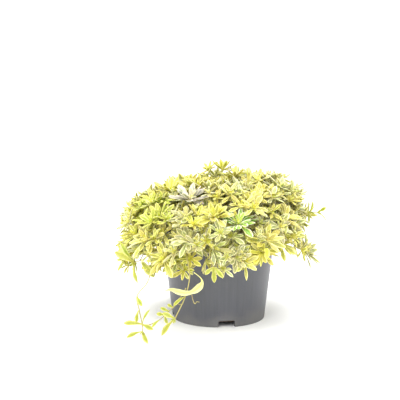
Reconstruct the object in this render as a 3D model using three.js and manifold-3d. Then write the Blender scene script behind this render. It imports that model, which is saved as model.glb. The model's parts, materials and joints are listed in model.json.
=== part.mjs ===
// Variegated rock cress in a grey plastic nursery pot, in millimetres with +Z up.
// The origin is the middle of the pot's foot, and the front of the plant faces -Y.
//
// The plant is a mound of leafy shoots. Each shoot stands in its own hole in the soil, and
// carries one or two rosettes. A rosette is a small bud with twenty faces, and each leaf
// grows out of one face as a three-sided blade: two edges, and a keel under the middle.
// Runners trail from the mound at the front left, over the rim and down to the table.

import * as THREE from 'three';
import { mergeVertices } from 'three/addons/utils/BufferGeometryUtils.js';
import Module from 'manifold-3d';

const wasm = await Module();
wasm.setup();

const DEGREE = Math.PI / 180;
const GOLDEN_ANGLE = Math.PI * (3 - Math.sqrt(5));
const UP = new THREE.Vector3(0, 0, 1);
const FRONT = -90 * DEGREE;
const GAP = 0.3;
const MERGE_DISTANCE = 1e-4;

// Pot
const POT_SIDES = 36;
const POT_HEIGHT = 130;
const FOOT_RADIUS = 66.5;
const SHOULDER_HEIGHT = 106.5;
const SHOULDER_RADIUS = 79.5;
const BAND_STEP = 2.3;
const RIM_RADIUS = 85.5;
const LIP_HEIGHT = 1.5;
const LIP_STEP = 0.6;
const WALL = 1.6;
const FLOOR_HEIGHT = 6;
const NOTCH_COUNT = 4;
const NOTCH_ANGLE = 10 * DEGREE;
const NOTCH_WIDTH = 23;
const NOTCH_HEIGHT = 9.5;
const NOTCH_DEPTH = 9;
const NOTCH_CORNER = 2.5;

// Soil
const SOIL_EDGE_HEIGHT = 117;
const SOIL_CROWN = 3.5;
const SOIL_SLOPE = [[0.72, 0.6], [0.4, 0.9], [0, 1]];
const HOLE_DEPTH = 12;

// Stems, which have three sides and stand in holes of the same section
const STEM_RADIUS = 1.9;
const STEM_TIP_RADIUS = 1.4;
const STEM_SIDES = 3;
const COLLAR_RISE = 2;
const COLLAR_HEIGHT = SOIL_EDGE_HEIGHT + SOIL_CROWN + COLLAR_RISE;
const HOLE_FLOOR = SOIL_EDGE_HEIGHT + SOIL_CROWN - HOLE_DEPTH;
const STEM_SPREAD = 64;
const RUNNER_SPREAD = 73;
const ARCH_HEIGHT = 154;
const STEM_LEAD = 0.36;
const STEM_HANDLE = 0.3;
const STEM_SHARES = [0, 0.34, 0.68, 1];
const FORK_SHARE = 0.25;
const FORK_RADIUS = 0.8;
const STEM_TRIES = 160;
const STEM_STRAY = 0.5;
const FOOT_STRAY = 16;
const STEM_GAP = 1;

// Mound: where the rosettes sit, as distance from the pot's axis and height. On its right
// side the mound is higher and steeper, and it doesn't hang as low there.
const MOUND_PROFILE = [
  [0, 189],
  [60, 184],
  [95, 172],
  [119, 152],
  [131, 130],
  [131, 111],
];
const RIGHT_PROFILE = [
  [0, 189],
  [55, 195],
  [84, 193],
  [102, 177],
  [109, 153],
  [104, 131],
];
const MOUND_REACH = 152;
const ROSETTE_COUNT = 74;
const SHOOT_COUNT = 49;
const AXIS_LIFT = 0.75;
const AXIS_STRAY = 0.25;
const DEPTH_SCATTER = 5;
const SETTLE_ROUNDS = 14;
const SETTLE_CROWDING = 1.15;
const SETTLE_STEP = 0.4;

// Rosettes and leaves
const BUD_RADIUS = 3;
const LEAF_LENGTH = [22, 29];
const LEAF_SLENDERNESS = 0.31;
const LEAF_WIDTH_LEAST = 5;
const SHUT = 0.58;
const OPEN_SPREAD = 0.1;
const KEEL_DEPTH = 1.4;
const BLADE_GAP = 1.8;
const SISTER_GAP = 0.9;
const SISTER_REACH = 1.9;
const SAMPLE_STEP = 1.4;
const LEAF_TRIES = 36;
const POT_MARGIN = 1.5;

// The rosettes that stand out: degrees to the right of the front, distance from the axis,
// height, leaf length, and how much the rosette faces up instead of outwards
const FEATURES = [
  { name: 'star', angle: -32, radius: 131, height: 103, leaf: 29, tint: 'gold', lift: 0.3 },
  { name: 'bright middle', angle: 12, radius: 121, height: 149, leaf: 26, tint: 'cream', lift: 0.3 },
  { name: 'yellow right', angle: 28, radius: 130, height: 128, leaf: 25, tint: 'gold' },
  { name: 'upper middle', angle: 23, radius: 103, height: 174, leaf: 23, tint: 'gold' },
  { name: 'left of middle', angle: -17, radius: 129, height: 128, leaf: 25, tint: 'gold' },
  { name: 'left shoulder', angle: -20, radius: 117, height: 155, leaf: 25, tint: 'cream' },
  { name: 'left middle', angle: -41, radius: 118, height: 154, leaf: 25, tint: 'gold' },
  { name: 'middle', angle: -2, radius: 121, height: 158, leaf: 24, tint: 'gold' },
  { name: 'low front', angle: -3, radius: 131, height: 119, leaf: 23, tint: 'cream' },
  { name: 'hanging front', angle: 10, radius: 132, height: 108, leaf: 21, tint: 'cream', lift: 0.2 },
  { name: 'right of hanging', angle: 25, radius: 131, height: 113, leaf: 21, tint: 'cream' },
  { name: 'right shoulder', angle: 48, radius: 118, height: 152, leaf: 25, tint: 'gold' },
  { name: 'outlying right', angle: 71, radius: 126, height: 101, leaf: 30, tint: 'cream', lift: 0.2 },
  { name: 'left front', angle: -58, radius: 131, height: 128, leaf: 26, tint: 'gold' },
  { name: 'hanging left', angle: -69, radius: 134, height: 97, leaf: 27, tint: 'green' },
  { name: 'left edge', angle: -96, radius: 133, height: 108, leaf: 27, tint: 'gold' },
  { name: 'cream top', angle: 8, radius: 80, height: 183, leaf: 26, tint: 'cream' },
  { name: 'grey left', angle: -25, radius: 88, height: 176, leaf: 29, tint: 'cream' },
  { name: 'outlying back', angle: 172, radius: 137, height: 104, leaf: 28, tint: 'gold' },
  { name: 'hanging back', angle: -138, radius: 134, height: 99, leaf: 26, tint: 'cream' },
  { name: 'low back', angle: 131, radius: 128, height: 110, leaf: 25, tint: 'cream' },
  { name: 'top spray', angle: 25, radius: 12, height: 213, leaf: 21, tint: 'gold', lift: 1.5 },
];

const finish = (color, roughness) =>
  new THREE.MeshStandardMaterial({ color, roughness, metalness: 0 });
const PLASTIC = finish(0x707175, 0.45);
const SOIL = finish(0x3a2c22, 1);
const TINTS = {
  gold: finish(0xc6cf45, 0.6),
  cream: finish(0xd8dc96, 0.6),
  green: finish(0x8fab4c, 0.6),
};

// Random numbers from 0 to 1 that are the same on each run
function seeded(seed) {
  let state = seed;
  return () => {
    state = (state + 0x6d2b79f5) | 0;
    let mixed = Math.imul(state ^ (state >>> 15), 1 | state);
    mixed = (mixed + Math.imul(mixed ^ (mixed >>> 7), 61 | mixed)) ^ mixed;
    return ((mixed ^ (mixed >>> 14)) >>> 0) / 4294967296;
  };
}

const random = seeded(28);
const between = (low, high) => low + (high - low) * random();
const about = (value, spread) => value + spread * (2 * random() - 1);

// Solids from points and triangles, and back

function solidFrom(points, faces) {
  const vertProperties = new Float32Array(points.flatMap((point) => [point.x, point.y, point.z]));
  const triVerts = new Uint32Array(faces.flat());
  return new wasm.Manifold(new wasm.Mesh({ numProp: 3, vertProperties, triVerts }));
}

function solidOf(geometry) {
  const bare = geometry.clone();
  bare.deleteAttribute('normal');
  bare.deleteAttribute('uv');
  const merged = mergeVertices(bare, MERGE_DISTANCE);
  const position = merged.getAttribute('position');
  const points = [];
  for (let i = 0; i < position.count; i += 1) {
    points.push(new THREE.Vector3().fromBufferAttribute(position, i));
  }
  const faces = [];
  const index = merged.getIndex().array;
  for (let i = 0; i < index.length; i += 3) {
    const [a, b, c] = [index[i], index[i + 1], index[i + 2]];
    if (a !== b && b !== c && c !== a) {
      faces.push([a, b, c]);
    }
  }
  return solidFrom(points, faces);
}

function geometryOf(solid) {
  const mesh = solid.getMesh();
  const geometry = new THREE.BufferGeometry();
  geometry.setAttribute('position', new THREE.BufferAttribute(mesh.vertProperties, 3));
  geometry.setIndex(new THREE.BufferAttribute(mesh.triVerts, 1));
  geometry.computeVertexNormals();
  return geometry;
}

const joined = (solids) => solids.reduce((whole, next) => whole.add(next));

function lathe(profile) {
  const points = profile.map(([radius, height]) => new THREE.Vector2(radius, height));
  const geometry = new THREE.LatheGeometry(points, POT_SIDES);
  geometry.rotateX(90 * DEGREE);
  return geometry;
}

// Pot

const wallRadius = (height) =>
  FOOT_RADIUS + ((SHOULDER_RADIUS - FOOT_RADIUS) * height) / SHOULDER_HEIGHT;
const innerRadius = (height) => wallRadius(height) - WALL;
const BAND_HEIGHT = SHOULDER_HEIGHT + BAND_STEP;
const BAND_RADIUS = SHOULDER_RADIUS + BAND_STEP;
const LIP_RADIUS = RIM_RADIUS - LIP_STEP;
const FLOOR_TOP = FLOOR_HEIGHT + WALL;

function notchSolid(turn) {
  const half = NOTCH_WIDTH / 2;
  const below = -5;
  const outline = new THREE.Shape([
    new THREE.Vector2(-half, below),
    new THREE.Vector2(half, below),
    new THREE.Vector2(half, NOTCH_HEIGHT - NOTCH_CORNER),
    new THREE.Vector2(half - NOTCH_CORNER, NOTCH_HEIGHT),
    new THREE.Vector2(NOTCH_CORNER - half, NOTCH_HEIGHT),
    new THREE.Vector2(-half, NOTCH_HEIGHT - NOTCH_CORNER),
  ]);
  const outward = 6;
  const geometry = new THREE.ExtrudeGeometry(outline, {
    depth: NOTCH_DEPTH + outward,
    bevelEnabled: false,
  });
  geometry.rotateX(90 * DEGREE);
  geometry.translate(0, -(FOOT_RADIUS - NOTCH_DEPTH), 0);
  geometry.rotateZ(turn);
  return solidOf(geometry);
}

// The short webs that run inward from each side of a notch, under the floor
function cheekSolid(turn, side) {
  const sink = 0.8;
  const geometry = new THREE.BoxGeometry(WALL, NOTCH_DEPTH, FLOOR_HEIGHT + sink);
  const across = side * (NOTCH_WIDTH / 2 + WALL / 2);
  const outerEnd = FOOT_RADIUS - WALL - GAP;
  geometry.translate(across, -(outerEnd - NOTCH_DEPTH / 2), (FLOOR_HEIGHT + sink) / 2);
  geometry.rotateZ(turn);
  return solidOf(geometry);
}

function potSolid() {
  const shell = lathe([
    [0, FLOOR_HEIGHT],
    [innerRadius(FLOOR_HEIGHT), FLOOR_HEIGHT],
    [innerRadius(0), 0],
    [FOOT_RADIUS, 0],
    [SHOULDER_RADIUS, SHOULDER_HEIGHT],
    [BAND_RADIUS, BAND_HEIGHT],
    [LIP_RADIUS, POT_HEIGHT - LIP_HEIGHT],
    [RIM_RADIUS, POT_HEIGHT],
    [RIM_RADIUS - WALL, POT_HEIGHT],
    [BAND_RADIUS - WALL, BAND_HEIGHT],
    [SHOULDER_RADIUS - WALL, SHOULDER_HEIGHT],
    [innerRadius(FLOOR_TOP), FLOOR_TOP],
    [0, FLOOR_TOP],
  ]);
  let pot = solidOf(shell);
  for (let k = 0; k < NOTCH_COUNT; k += 1) {
    const turn = NOTCH_ANGLE + (k * 2 * Math.PI) / NOTCH_COUNT;
    pot = pot.subtract(notchSolid(turn));
    pot = pot.add(cheekSolid(turn, -1)).add(cheekSolid(turn, 1));
  }
  return pot;
}

// Soil

const SIDE_GAP = GAP + 0.1;
const soilRadius = (height) =>
  BAND_RADIUS - WALL - SIDE_GAP +
  ((RIM_RADIUS - BAND_RADIUS) * (height - BAND_HEIGHT)) / (POT_HEIGHT - BAND_HEIGHT);

function soilSolid(feet) {
  const edge = soilRadius(SOIL_EDGE_HEIGHT);
  const geometry = lathe([
    [0, FLOOR_TOP + GAP],
    [innerRadius(FLOOR_TOP) - SIDE_GAP, FLOOR_TOP + GAP],
    [SHOULDER_RADIUS - WALL - SIDE_GAP, SHOULDER_HEIGHT],
    [BAND_RADIUS - WALL - SIDE_GAP, BAND_HEIGHT],
    [edge, SOIL_EDGE_HEIGHT],
    ...SOIL_SLOPE.map(([out, rise]) => [edge * out, SOIL_EDGE_HEIGHT + SOIL_CROWN * rise]),
  ]);
  let soil = solidOf(geometry);
  for (const foot of feet) {
    const top = new THREE.Vector3(foot.x, foot.y, COLLAR_HEIGHT);
    const bottom = new THREE.Vector3(foot.x, foot.y, HOLE_FLOOR);
    const radius = STEM_RADIUS + 2 * GAP;
    const hole = tube([bottom, top], [radius, radius]);
    soil = soil.subtract(solidFrom(hole.points, hole.faces));
  }
  return soil;
}

// Tubes with few sides. One that starts upright is a straight prism up to its second point,
// as it stands in its hole. A fork's sides face the other way from those of its stem.

function tube(path, radii, facing = 1) {
  const points = [];
  const faces = [];
  let normal = new THREE.Vector3(facing, 0, 0);
  path.forEach((centre, i) => {
    const before = path[Math.max(i - 1, 0)];
    const after = path[Math.min(i + 1, path.length - 1)];
    const along = after.clone().sub(before).normalize();
    if (i < 2 && path[1].x === path[0].x && path[1].y === path[0].y) {
      along.copy(UP);
    }
    normal = normal.clone().addScaledVector(along, -normal.dot(along)).normalize();
    const side = along.clone().cross(normal);
    for (let k = 0; k < STEM_SIDES; k += 1) {
      const angle = (k * 2 * Math.PI) / STEM_SIDES;
      const point = centre.clone();
      point.addScaledVector(normal, radii[i] * Math.cos(angle));
      point.addScaledVector(side, radii[i] * Math.sin(angle));
      points.push(point);
    }
  });
  const last = (path.length - 1) * STEM_SIDES;
  for (let i = 0; i < path.length - 1; i += 1) {
    for (let k = 0; k < STEM_SIDES; k += 1) {
      const next = (k + 1) % STEM_SIDES;
      const row = i * STEM_SIDES;
      const above = row + STEM_SIDES;
      faces.push([row + k, row + next, above + next], [row + k, above + next, above + k]);
    }
  }
  for (let k = 1; k < STEM_SIDES - 1; k += 1) {
    faces.push([0, k + 1, k], [last, last + k, last + k + 1]);
  }
  return { points, faces };
}

// Keeping the shoots clear of each other: a piece is the triangles that others keep clear
// of, each with a ball round it

function guarded([a, b, c]) {
  const triangle = new THREE.Triangle(a, b, c);
  const centre = triangle.getMidpoint(new THREE.Vector3());
  const radius = Math.max(centre.distanceTo(a), centre.distanceTo(b), centre.distanceTo(c));
  return { triangle, centre, radius };
}

const boxRound = (points) => new THREE.Box3().setFromPoints(points);
const taken = [];

function takePlace(rosette, shoot, triangles) {
  taken.push({ rosette, shoot, guards: triangles.map(guarded), box: boxRound(triangles.flat()) });
}

const nearest = new THREE.Vector3();

function touches(point, guards, gap) {
  return guards.some(({ triangle, centre, radius }) => {
    const reach = radius + gap;
    if (point.distanceToSquared(centre) > reach * reach) {
      return false;
    }
    triangle.closestPointToPoint(point, nearest);
    return nearest.distanceToSquared(point) < gap * gap;
  });
}

// Leaves of one rosette meet at its bud, so they are only tested beyond it
function isFree(rosette, shoot, points, gap) {
  const box = boxRound(points).expandByScalar(gap);
  const bud = BUD_RADIUS + SISTER_REACH;
  const beyond = rosette
    ? points.filter((point) => point.distanceTo(rosette.centre) > bud)
    : points;
  return taken.every((piece) => {
    if (piece.shoot === shoot || !piece.box.intersectsBox(box)) {
      return true;
    }
    const sister = rosette !== null && piece.rosette === rosette;
    const tested = sister ? beyond : points;
    return !tested.some((point) => touches(point, piece.guards, sister ? SISTER_GAP : gap));
  });
}

function clearOfPot(point, margin) {
  if (point.z > POT_HEIGHT + margin) {
    return true;
  }
  const radius = Math.hypot(point.x, point.y);
  const outside = point.z > SHOULDER_HEIGHT - margin ? RIM_RADIUS : wallRadius(point.z);
  const overSoil = point.z > COLLAR_HEIGHT + margin && radius < BAND_RADIUS - WALL - margin;
  return point.z > margin && (radius > outside + margin || overSoil);
}

// Blades: a section has two edges with the keel between them, and the last point is the tip

const bladeSection = (point, side, face, width, keel) => [
  point.clone().addScaledVector(side, -width / 2),
  point.clone().addScaledVector(face, -keel),
  point.clone().addScaledVector(side, width / 2),
];

// Triangles between two sections, split along the shorter diagonals
function bandFaces(points, near, far) {
  return [0, 1, 2].flatMap((k) => {
    const next = (k + 1) % 3;
    const [a, b, c, d] = [near[k], near[next], far[next], far[k]];
    const straight = points[a].distanceTo(points[c]) <= points[b].distanceTo(points[d]);
    return straight ? [[a, b, c], [a, c, d]] : [[a, b, d], [b, c, d]];
  });
}

function bladeFaces(points, rootCorners, sections, tip) {
  const faces = [];
  let near = rootCorners;
  for (const section of sections) {
    const far = section.map((point) => points.push(point) - 1);
    faces.push(...bandFaces(points, near, far));
    near = far;
  }
  const end = points.push(tip) - 1;
  faces.push(...[0, 1, 2].map((k) => [near[k], near[(k + 1) % 3], end]));
  return faces;
}

// Points all over a blade, no more than about SAMPLE_STEP apart
function bladePoints(root, sections, tip) {
  const rows = [root, ...sections, [tip, tip, tip]];
  const list = [];
  for (let i = 1; i < rows.length; i += 1) {
    const steps = Math.ceil(rows[i - 1][0].distanceTo(rows[i][0]) / SAMPLE_STEP);
    for (let j = 1; j <= steps; j += 1) {
      const [left, keel, right] = rows[i - 1].map((point, k) =>
        point.clone().lerp(rows[i][k], j / steps));
      const across = Math.max(1, Math.ceil(left.distanceTo(right) / SAMPLE_STEP));
      for (let k = 0; k <= across; k += 1) {
        list.push(left.clone().lerp(right, k / across));
      }
      list.push(keel);
    }
  }
  return list;
}

// A leaf bends from one polar angle to the other round its rosette's axis, and turns a
// little sideways. It is widest at its first station, and a large leaf has a second one.

const LEAF_STATIONS = [
  { along: 0.6, width: 1, keel: KEEL_DEPTH },
  { along: 0.88, width: 0.7, keel: 0.8 * KEEL_DEPTH },
];
const LINE_STEPS = 10;

function leafDirections(rosette, leaf, share) {
  const polar = leaf.lift + (leaf.fall - leaf.lift) * share;
  const turn = rosette.spin + leaf.turn + leaf.sweep * share;
  const out = rosette.right.clone().multiplyScalar(Math.cos(turn));
  out.addScaledVector(rosette.ahead, Math.sin(turn));
  const along = rosette.axis.clone().multiplyScalar(Math.cos(polar));
  along.addScaledVector(out, Math.sin(polar));
  const upper = rosette.axis.clone().multiplyScalar(Math.sin(polar));
  upper.addScaledVector(out, -Math.cos(polar));
  const across = upper.clone().cross(along);
  const side = across.clone().multiplyScalar(Math.cos(leaf.roll));
  side.addScaledVector(upper, Math.sin(leaf.roll));
  const face = upper.clone().multiplyScalar(Math.cos(leaf.roll));
  face.addScaledVector(across, -Math.sin(leaf.roll));
  return { along, side, face };
}

function leafShape(rosette, root, leaf) {
  const line = [root];
  for (let i = 0; i < LINE_STEPS; i += 1) {
    const { along } = leafDirections(rosette, leaf, (i + 0.5) / LINE_STEPS);
    line.push(line[i].clone().addScaledVector(along, leaf.length / LINE_STEPS));
  }
  const sections = LEAF_STATIONS.slice(0, leaf.stations).map(({ along, width, keel }) => {
    const i = Math.round(along * LINE_STEPS);
    const { side, face } = leafDirections(rosette, leaf, along);
    return bladeSection(line[i], side, face, leaf.width * width, keel);
  });
  return { sections, tip: line[LINE_STEPS] };
}

// A bud has twelve corners: a pole at each end of its axis, and two rings of five. Its
// faces are in four rings, from the top: crown, upper, lower and base.

const RING_ANGLE = Math.atan(2);
const FIFTH = 72 * DEGREE;
const CORNERS = 5;

function makeBud(rosette) {
  const corner = (polar, turn) => {
    const point = rosette.centre.clone();
    point.addScaledVector(rosette.axis, BUD_RADIUS * Math.cos(polar));
    point.addScaledVector(rosette.right, BUD_RADIUS * Math.sin(polar) * Math.cos(turn));
    point.addScaledVector(rosette.ahead, BUD_RADIUS * Math.sin(polar) * Math.sin(turn));
    return point;
  };
  const ring = (polar, offset) =>
    [...Array(CORNERS).keys()].map((i) => corner(polar, rosette.spin + (i + offset) * FIFTH));
  const points = [
    corner(0, 0),
    ...ring(RING_ANGLE, 0),
    ...ring(Math.PI - RING_ANGLE, 0.5),
    corner(Math.PI, 0),
  ];
  const high = (i) => 1 + (i % CORNERS);
  const low = (i) => 1 + CORNERS + (i % CORNERS);
  const rings = { crown: [], upper: [], lower: [], base: [] };
  for (let i = 0; i < CORNERS; i += 1) {
    const turn = (i + 0.5) * FIFTH;
    rings.crown.push({ corners: [high(i), high(i + 1), 0], turn });
    rings.upper.push({ corners: [high(i), low(i), high(i + 1)], turn });
    rings.lower.push({ corners: [low(i), low(i + 1), high(i + 1)], turn: (i + 1) * FIFTH });
    rings.base.push({ corners: [points.length - 1, low(i + 1), low(i)], turn });
  }
  rosette.points = points;
  rosette.rings = rings;
  rosette.faces = [];
}

// How the leaves of each ring grow: polar angles at the root and the tip, in degrees, and
// the share of the rosette's leaf length. Rosettes on top of the mound are less open.
const RING_HABITS = {
  lower: { lift: 78, fall: 100, length: 1, leaves: 5, stations: 2 },
  upper: { lift: 60, fall: 76, length: 0.86, leaves: 5, stations: 1 },
  crown: { lift: 28, fall: 40, length: 0.56, leaves: 2, stations: 1 },
};

// How far a leaf's angles may stray in degrees: in its first try, and what the last try adds
const STRAYS = { lift: [5, 12], fall: [9, 22], turn: [6, 10], sweep: [14, 10], roll: [14, 12] };
const SIZE_SPREAD = 0.08;
const LAST_TRY_LENGTH = 0.7;

// A leaf drawn later in the tries may stray further from its place, and is shorter
function drawLeaf(rosette, habit, face, strain) {
  const stray = ([first, more]) => about(0, first + more * strain);
  const shrink = 1 - (1 - LAST_TRY_LENGTH) * strain;
  const length = rosette.leafLength * habit.length * about(1, SIZE_SPREAD) * shrink;
  return {
    lift: (habit.lift * rosette.open + stray(STRAYS.lift)) * DEGREE,
    fall: (habit.fall * rosette.open + stray(STRAYS.fall)) * DEGREE,
    turn: face.turn + stray(STRAYS.turn) * DEGREE,
    sweep: stray(STRAYS.sweep) * DEGREE,
    roll: stray(STRAYS.roll) * DEGREE,
    length,
    width: Math.max(LEAF_WIDTH_LEAST, length * LEAF_SLENDERNESS * about(1, SIZE_SPREAD)),
    stations: habit.stations,
  };
}

function growLeaf(rosette, ringName, face) {
  const root = face.corners.map((corner) => rosette.points[corner]);
  const middle = new THREE.Vector3();
  root.forEach((point) => middle.addScaledVector(point, 1 / 3));
  for (let attempt = 0; attempt < LEAF_TRIES; attempt += 1) {
    const leaf = drawLeaf(rosette, RING_HABITS[ringName], face, attempt / LEAF_TRIES);
    const { sections, tip } = leafShape(rosette, middle, leaf);
    const points = bladePoints(root, sections, tip);
    const clear = points.every((point) => clearOfPot(point, POT_MARGIN));
    const within = Math.hypot(tip.x, tip.y) < MOUND_REACH;
    if (clear && within && isFree(rosette, null, points, BLADE_GAP)) {
      const faces = bladeFaces(rosette.points, face.corners, sections, tip);
      const triangles = faces.map((corners) => corners.map((corner) => rosette.points[corner]));
      takePlace(rosette, rosette.shoot, triangles);
      rosette.faces.push(...faces);
      return;
    }
  }
  rosette.faces.push(face.corners);
}

function growLeaves(rosettes) {
  rosettes.forEach(makeBud);
  for (const ringName of ['lower', 'upper', 'crown']) {
    for (const rosette of rosettes) {
      rosette.rings[ringName].forEach((face, i) => {
        if (i < RING_HABITS[ringName].leaves) {
          growLeaf(rosette, ringName, face);
        } else {
          rosette.faces.push(face.corners);
        }
      });
    }
  }
  for (const rosette of rosettes) {
    rosette.faces.push(...rosette.rings.base.map((face) => face.corners));
  }
}

// The mound: each profile as rows of radius, height and the area above them

const pointAt = (angle, radius, height) =>
  new THREE.Vector3(radius * Math.cos(angle), radius * Math.sin(angle), height);

const PROFILE_STEPS = 200;

function profileRows(profile) {
  const curve = new THREE.SplineCurve(profile.map(([r, z]) => new THREE.Vector2(r, z)));
  const rows = [];
  for (let i = 0; i <= PROFILE_STEPS; i += 1) {
    const { x: radius, y: height } = curve.getPoint(i / PROFILE_STEPS);
    const slope = curve.getTangent(i / PROFILE_STEPS);
    const before = rows[i - 1] ?? { radius, height, area: 0 };
    const run = Math.hypot(radius - before.radius, height - before.height);
    const area = before.area + Math.PI * (radius + before.radius) * run;
    rows.push({ radius, height, lean: Math.atan2(-slope.y, slope.x), area });
  }
  return rows;
}

const MOUND = profileRows(MOUND_PROFILE);
const RIGHT_SIDE = profileRows(RIGHT_PROFILE);
const MOUND_AREA = MOUND[PROFILE_STEPS].area;

// The place on a row of the mound at an angle from +X, where the right side is
function placeOn(row, angle) {
  const share = Math.max(0, Math.cos(angle)) ** 2;
  const [main, right] = [MOUND[row], RIGHT_SIDE[row]];
  const blend = (key) => THREE.MathUtils.lerp(main[key], right[key], share);
  const centre = pointAt(angle, blend('radius'), blend('height'));
  return { centre, angle, lean: blend('lean'), part: main.area / MOUND_AREA };
}

function nearestPlace(point) {
  const angle = Math.atan2(point.y, point.x);
  const places = MOUND.map((_, row) => placeOn(row, angle));
  const miss = (place) => place.centre.distanceToSquared(point);
  return places.reduce((best, next) => (miss(next) < miss(best) ? next : best));
}

// Places spread evenly by area, with the features put in first, and then pushed apart
function rosettePlaces() {
  const places = [];
  for (let i = 0; i < ROSETTE_COUNT; i += 1) {
    const area = ((i + 0.5) / ROSETTE_COUNT) * MOUND_AREA;
    const row = MOUND.findIndex((candidate) => candidate.area >= area);
    places.push({ ...placeOn(row, i * GOLDEN_ANGLE), leafLength: between(...LEAF_LENGTH) });
  }
  for (const feature of FEATURES) {
    const angle = FRONT + feature.angle * DEGREE;
    const spot = pointAt(angle, feature.radius, feature.height);
    const free = places.filter((place) => !place.feature);
    const miss = (place) => place.centre.distanceTo(spot);
    const chosen = free.reduce((best, next) => (miss(next) < miss(best) ? next : best));
    Object.assign(chosen, nearestPlace(spot), {
      centre: spot,
      feature: feature.name,
      leafLength: feature.leaf,
      tint: feature.tint,
    });
  }
  const spacing = Math.sqrt((MOUND_AREA / ROSETTE_COUNT) * SETTLE_CROWDING);
  for (let round = 0; round < SETTLE_ROUNDS; round += 1) {
    for (const place of places.filter((candidate) => !candidate.feature)) {
      const push = new THREE.Vector3();
      for (const other of places) {
        const away = place.centre.clone().sub(other.centre);
        const distance = away.length();
        if (other !== place && distance < spacing) {
          push.addScaledVector(away, (SETTLE_STEP * (spacing - distance)) / distance);
        }
      }
      Object.assign(place, nearestPlace(place.centre.clone().add(push)));
    }
  }
  return places;
}

const TINT_NAMES = ['gold', 'gold', 'cream', 'cream', 'green'];

function makeRosette(place) {
  const outward = pointAt(place.angle, 1, 0);
  const right = new THREE.Vector3(-outward.y, outward.x, 0);
  const axis = outward.clone().multiplyScalar(Math.sin(place.lean));
  axis.addScaledVector(UP, Math.cos(place.lean) + (place.lift ?? AXIS_LIFT));
  axis.addScaledVector(right, about(0, AXIS_STRAY));
  axis.addScaledVector(outward, about(0, AXIS_STRAY)).normalize();
  right.addScaledVector(axis, -right.dot(axis)).normalize();
  const ahead = axis.clone().cross(right);
  const tint = place.tint ?? TINT_NAMES[Math.floor(TINT_NAMES.length * random())];
  const centre = place.centre.clone();
  if (!place.feature) {
    centre.addScaledVector(axis, about(0, DEPTH_SCATTER));
  }
  const open = about(SHUT + (1 - SHUT) * Math.sin(place.lean), OPEN_SPREAD);
  return { ...place, centre, axis, right, ahead, tint, open, spin: between(0, FIFTH) };
}

// Neighbours share a shoot, nearest pairs first, until the shoots are as few as wanted
function pairUp(rosettes) {
  const pairs = rosettes.flatMap((a, i) =>
    rosettes.slice(i + 1).map((b) => ({ a, b, apart: a.centre.distanceTo(b.centre) })));
  pairs.sort((first, second) => first.apart - second.apart);
  const used = new Set();
  const shoots = [];
  for (const { a, b } of pairs) {
    const enough = rosettes.length - shoots.length <= SHOOT_COUNT;
    if (!enough && !used.has(a) && !used.has(b)) {
      used.add(a).add(b);
      shoots.push({ rosettes: a.centre.z > b.centre.z ? [a, b] : [b, a] });
    }
  }
  const single = rosettes.filter((rosette) => !used.has(rosette));
  return [...shoots, ...single.map((rosette) => ({ rosettes: [rosette] }))];
}

// Stems: each rises out of the soil, arches over the rim where it has to, and meets its bud

function stemCurve(start, rise, rosette, strain) {
  const reach = start.distanceTo(rosette.centre);
  const handle = rosette.centre.clone().addScaledVector(rosette.axis, -STEM_HANDLE * reach);
  handle.addScaledVector(rosette.right, about(0, STEM_STRAY * strain) * reach);
  handle.addScaledVector(rosette.ahead, about(0, STEM_STRAY * strain) * reach);
  if (Math.hypot(rosette.centre.x, rosette.centre.y) > RIM_RADIUS) {
    handle.z = Math.max(handle.z, ARCH_HEIGHT);
  }
  const lead = start.clone().addScaledVector(rise, STEM_LEAD * reach);
  return new THREE.CubicBezierCurve3(start, lead, handle, rosette.centre);
}

function linePoints(path) {
  const list = [];
  for (let i = 1; i < path.length; i += 1) {
    const steps = Math.ceil(path[i].distanceTo(path[i - 1]) / SAMPLE_STEP);
    for (let j = 0; j <= steps; j += 1) {
      list.push(path[i - 1].clone().lerp(path[i], j / steps));
    }
  }
  return list;
}

function addTube(shoot, rosette, path, radii, facing) {
  const { points, faces } = tube(path, radii, facing);
  const triangles = faces.map((face) => face.map((corner) => points[corner]));
  takePlace(rosette, shoot, triangles);
  shoot.tubes.push(solidFrom(points, faces));
}

function footOf(angle, spread) {
  return pointAt(angle, spread, HOLE_FLOOR + GAP);
}

// A stem shifts its foot and its bend, more with each try, until it is free
function growStem(shoot, rosette, startOf) {
  for (let attempt = 0; attempt < STEM_TRIES; attempt += 1) {
    const strain = attempt / STEM_TRIES;
    const { foot, start, rise } = startOf(strain);
    const curve = stemCurve(start, rise, rosette, strain);
    const path = STEM_SHARES.map((share) => curve.getPoint(share));
    if (isFree(null, shoot, linePoints(path), STEM_RADIUS + STEM_GAP)) {
      const whole = foot ? [foot, ...path] : path;
      const first = foot ? STEM_RADIUS : FORK_RADIUS;
      const radii = whole.map((point, i) =>
        (i < 2 ? first : first + ((STEM_TIP_RADIUS - first) * (i - 1)) / (whole.length - 2)));
      addTube(shoot, rosette, whole, radii, foot ? 1 : -1);
      return { foot, path };
    }
  }
  throw new Error('a stem finds no way through its neighbours');
}

// The second stem of a shoot forks off inside the middle part of the first
function growStems(shoot) {
  shoot.tubes = [];
  const [main, second] = shoot.rosettes;
  const { foot, path } = growStem(shoot, main, (strain) => {
    const spread = STEM_SPREAD * Math.sqrt(main.part) + about(0, FOOT_STRAY * strain);
    const angle = Math.atan2(main.centre.y, main.centre.x) + about(0, STEM_STRAY * strain);
    const radius = Math.min(STEM_SPREAD, Math.abs(spread));
    return {
      foot: footOf(angle, radius),
      start: pointAt(angle, radius, COLLAR_HEIGHT),
      rise: UP,
    };
  });
  shoot.foot = foot;
  if (second) {
    growStem(shoot, second, (strain) => {
      const start = path[1].clone().lerp(path[2], FORK_SHARE + STEM_STRAY * strain * random());
      const rise = path[2].clone().sub(path[1]).normalize();
      rise.add(second.centre.clone().sub(start).normalize()).normalize();
      return { start, rise };
    });
  }
}

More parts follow.
